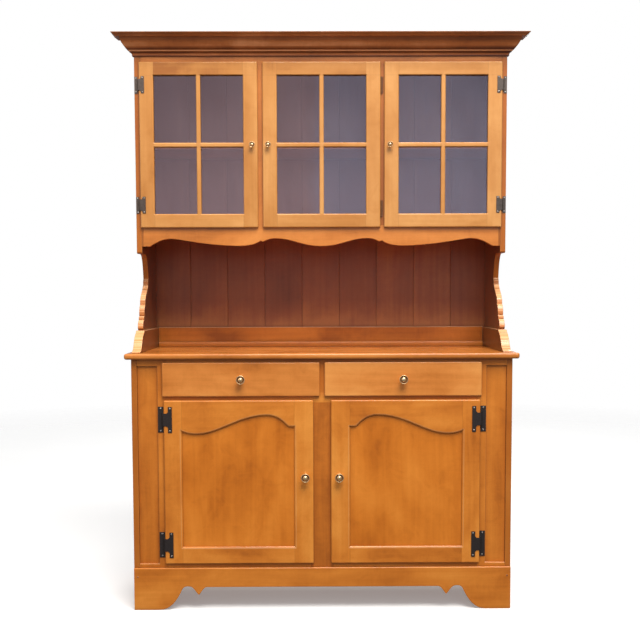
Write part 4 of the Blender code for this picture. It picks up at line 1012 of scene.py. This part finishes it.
def build_hinge_screws(steel):
    """Domed screws on every leaf that shows its face. The middle door's butt hinges hide theirs."""
    for k, (node, obj) in enumerate(sorted(frame["nodes"].items())):
        if not node.endswith("_leaf") or "middle" in node:
            continue
        screws = CUPBOARD_SCREWS if node.startswith("cupboard") else GLAZED_SCREWS
        bm = bmesh.new()
        for j, place in enumerate(hinge_screw_places(node, screws)):
            add_screw(bm, place, screws.radius, TURN_PER_LEAF * k + TURN_PER_SCREW * j)
        new_piece(f"{node}_screws", bm, steel, obj["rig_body"])


def add_frame_sweep(bm, x, z, section):
    """Adds a strip swept round a rectangle with mitred corners.

    The section gives distance in from the rectangle's edge, and depth."""
    rings = []
    for inward, depth in section:
        left, right = shrunk(x, inward)
        bottom, top = shrunk(z, inward)
        corners = ((left, bottom), (right, bottom), (right, top), (left, top))
        rings.append([bm.verts.new((across, depth, up)) for across, up in corners])
    for one, other in zip(rings, rings[1:] + rings[:1]):
        for k in range(4):
            after = (k + 1) % 4
            bm.faces.new((one[k], one[after], other[after], other[k]))


def build_stops(finishes):
    """Strips behind each pane and panel that hold it in its rebate."""
    for kind, held, sides in (
        ("glazed_door", "glass", SIDES),
        ("cupboard_door", "panel", ("left", "right")),
    ):
        for side in sides:
            node = f"{kind}_{side}_{held}"
            low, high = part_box(node)
            front = high.y + STOP_PANE_GAP
            back = span(f"{kind}_{side}_frame", 1)[1] - STOP_BACK_GAP
            off = min(STOP_ROUND, (back - front) * STOP_ROUND_SHARE)
            cut = STOP_CORNER_CUT * off
            section = [
                (0.0, front), (STOP_WIDTH, front), (STOP_WIDTH, back - off),
                (STOP_WIDTH - cut, back - cut), (STOP_WIDTH - off, back), (0.0, back),
            ]
            bm = bmesh.new()
            add_frame_sweep(bm, (low.x, high.x), (low.z, high.z), section)
            body = frame["nodes"][node]["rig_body"]
            new_piece(f"{kind}_{side}_stops", bm, finishes[side], body)


def build_plinth_pegs(finish):
    """Wooden pegs that pin the plinth to the sides, seen as small dark dots at its ends."""
    low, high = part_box("plinth_front")
    bm = bmesh.new()
    for sign in (-1, 1):
        place = (sign * (high.x - PEG_INSET), low.y, high.z - PEG_DROP)
        add_turned(bm, place, (0, -1, 0), PEG_PROFILE, SMALL_STEPS)
    new_piece("plinth_pegs", bm, finish, "case")


def build_camera():
    """Camera at the photograph's viewpoint."""
    data = bpy.data.cameras.new("photo_camera")
    data.sensor_width = SENSOR_WIDTH
    data.lens = FOCAL_PIXELS / IMAGE_SIDE * SENSOR_WIDTH
    data.shift_y = (OPTICAL_AXIS_ROW - IMAGE_SIDE / 2) / IMAGE_SIDE
    camera = bpy.data.objects.new("photo_camera", data)
    bpy.context.scene.collection.objects.link(camera)
    turn = Matrix.Rotation(-CAMERA_YAW, 4, "Z")
    tilt = Matrix.Rotation(math.pi / 2 - CAMERA_PITCH_DOWN, 4, "X")
    roll = Matrix.Rotation(CAMERA_ROLL, 4, "Z")
    camera.matrix_world = Matrix.Translation(CAMERA_PLACE) @ turn @ tilt @ roll
    bpy.context.scene.camera = camera


def build_lights():
    """Soft area lights, each turned towards its target."""
    for name, place, target, size, power, colour in LIGHTS:
        data = bpy.data.lights.new(name, "AREA")
        data.shape = "RECTANGLE"
        data.size, data.size_y = size
        data.energy = power
        data.color = colour
        lamp = bpy.data.objects.new(name, data)
        bpy.context.scene.collection.objects.link(lamp)
        lamp.location = place
        lamp.rotation_mode = "QUATERNION"
        lamp.rotation_quaternion = (Vector(target) - Vector(place)).to_track_quat("-Z", "Y")


def build_world():
    """Soft light that falls off towards the ground. The camera itself sees a white backdrop."""
    world = bpy.data.worlds.new("studio")
    bpy.context.scene.world = world
    g = Graph(world, "Background")
    seen = g.node("ShaderNodeLightPath").outputs["Is Camera Ray"]
    upward = g.split(g.node("ShaderNodeTexCoord").outputs["Generated"])[2]
    height = g.node("ShaderNodeMapRange", upward, -1.0).outputs["Result"]
    g.feed("Strength", g.blend(seen, g.ramp(height, SKY), 1.0))
    g.set(Color=(1.0, 1.0, 1.0, 1.0))
    bpy.context.scene.view_settings.view_transform = "Standard"


def build_floor():
    """Pale round floor that fades into the backdrop and throws no colour onto the hutch."""
    bm = bmesh.new()
    bmesh.ops.create_circle(bm, cap_ends=True, radius=FLOOR_RADIUS, segments=FLOOR_SIDES)
    mesh = bpy.data.meshes.new("floor")
    bm.to_mesh(mesh)
    bm.free()
    floor = bpy.data.objects.new("floor", mesh)
    bpy.context.scene.collection.objects.link(floor)
    g = Graph(bpy.data.materials.new("pale_floor"))
    place = g.place()
    g.feed("Base Color", g.ramp(g.noise(place, 3.0), FLOOR_GREYS))
    away = g.math("DIVIDE", g.vector_math("LENGTH", place, output="Value"), FLOOR_RADIUS)
    g.feed("Alpha", g.ramp(away, FLOOR_OPACITY))
    g.set(Roughness=0.6, Emission_Color=(1.0, 1.0, 1.0, 1.0), Emission_Strength=FLOOR_GLOW)
    mesh.materials.append(g.owner)
    floor.visible_diffuse = False
    floor.visible_glossy = False


build_camera()
build_lights()
build_world()
build_floor()
finish_wooden_parts()
finish_hardware()
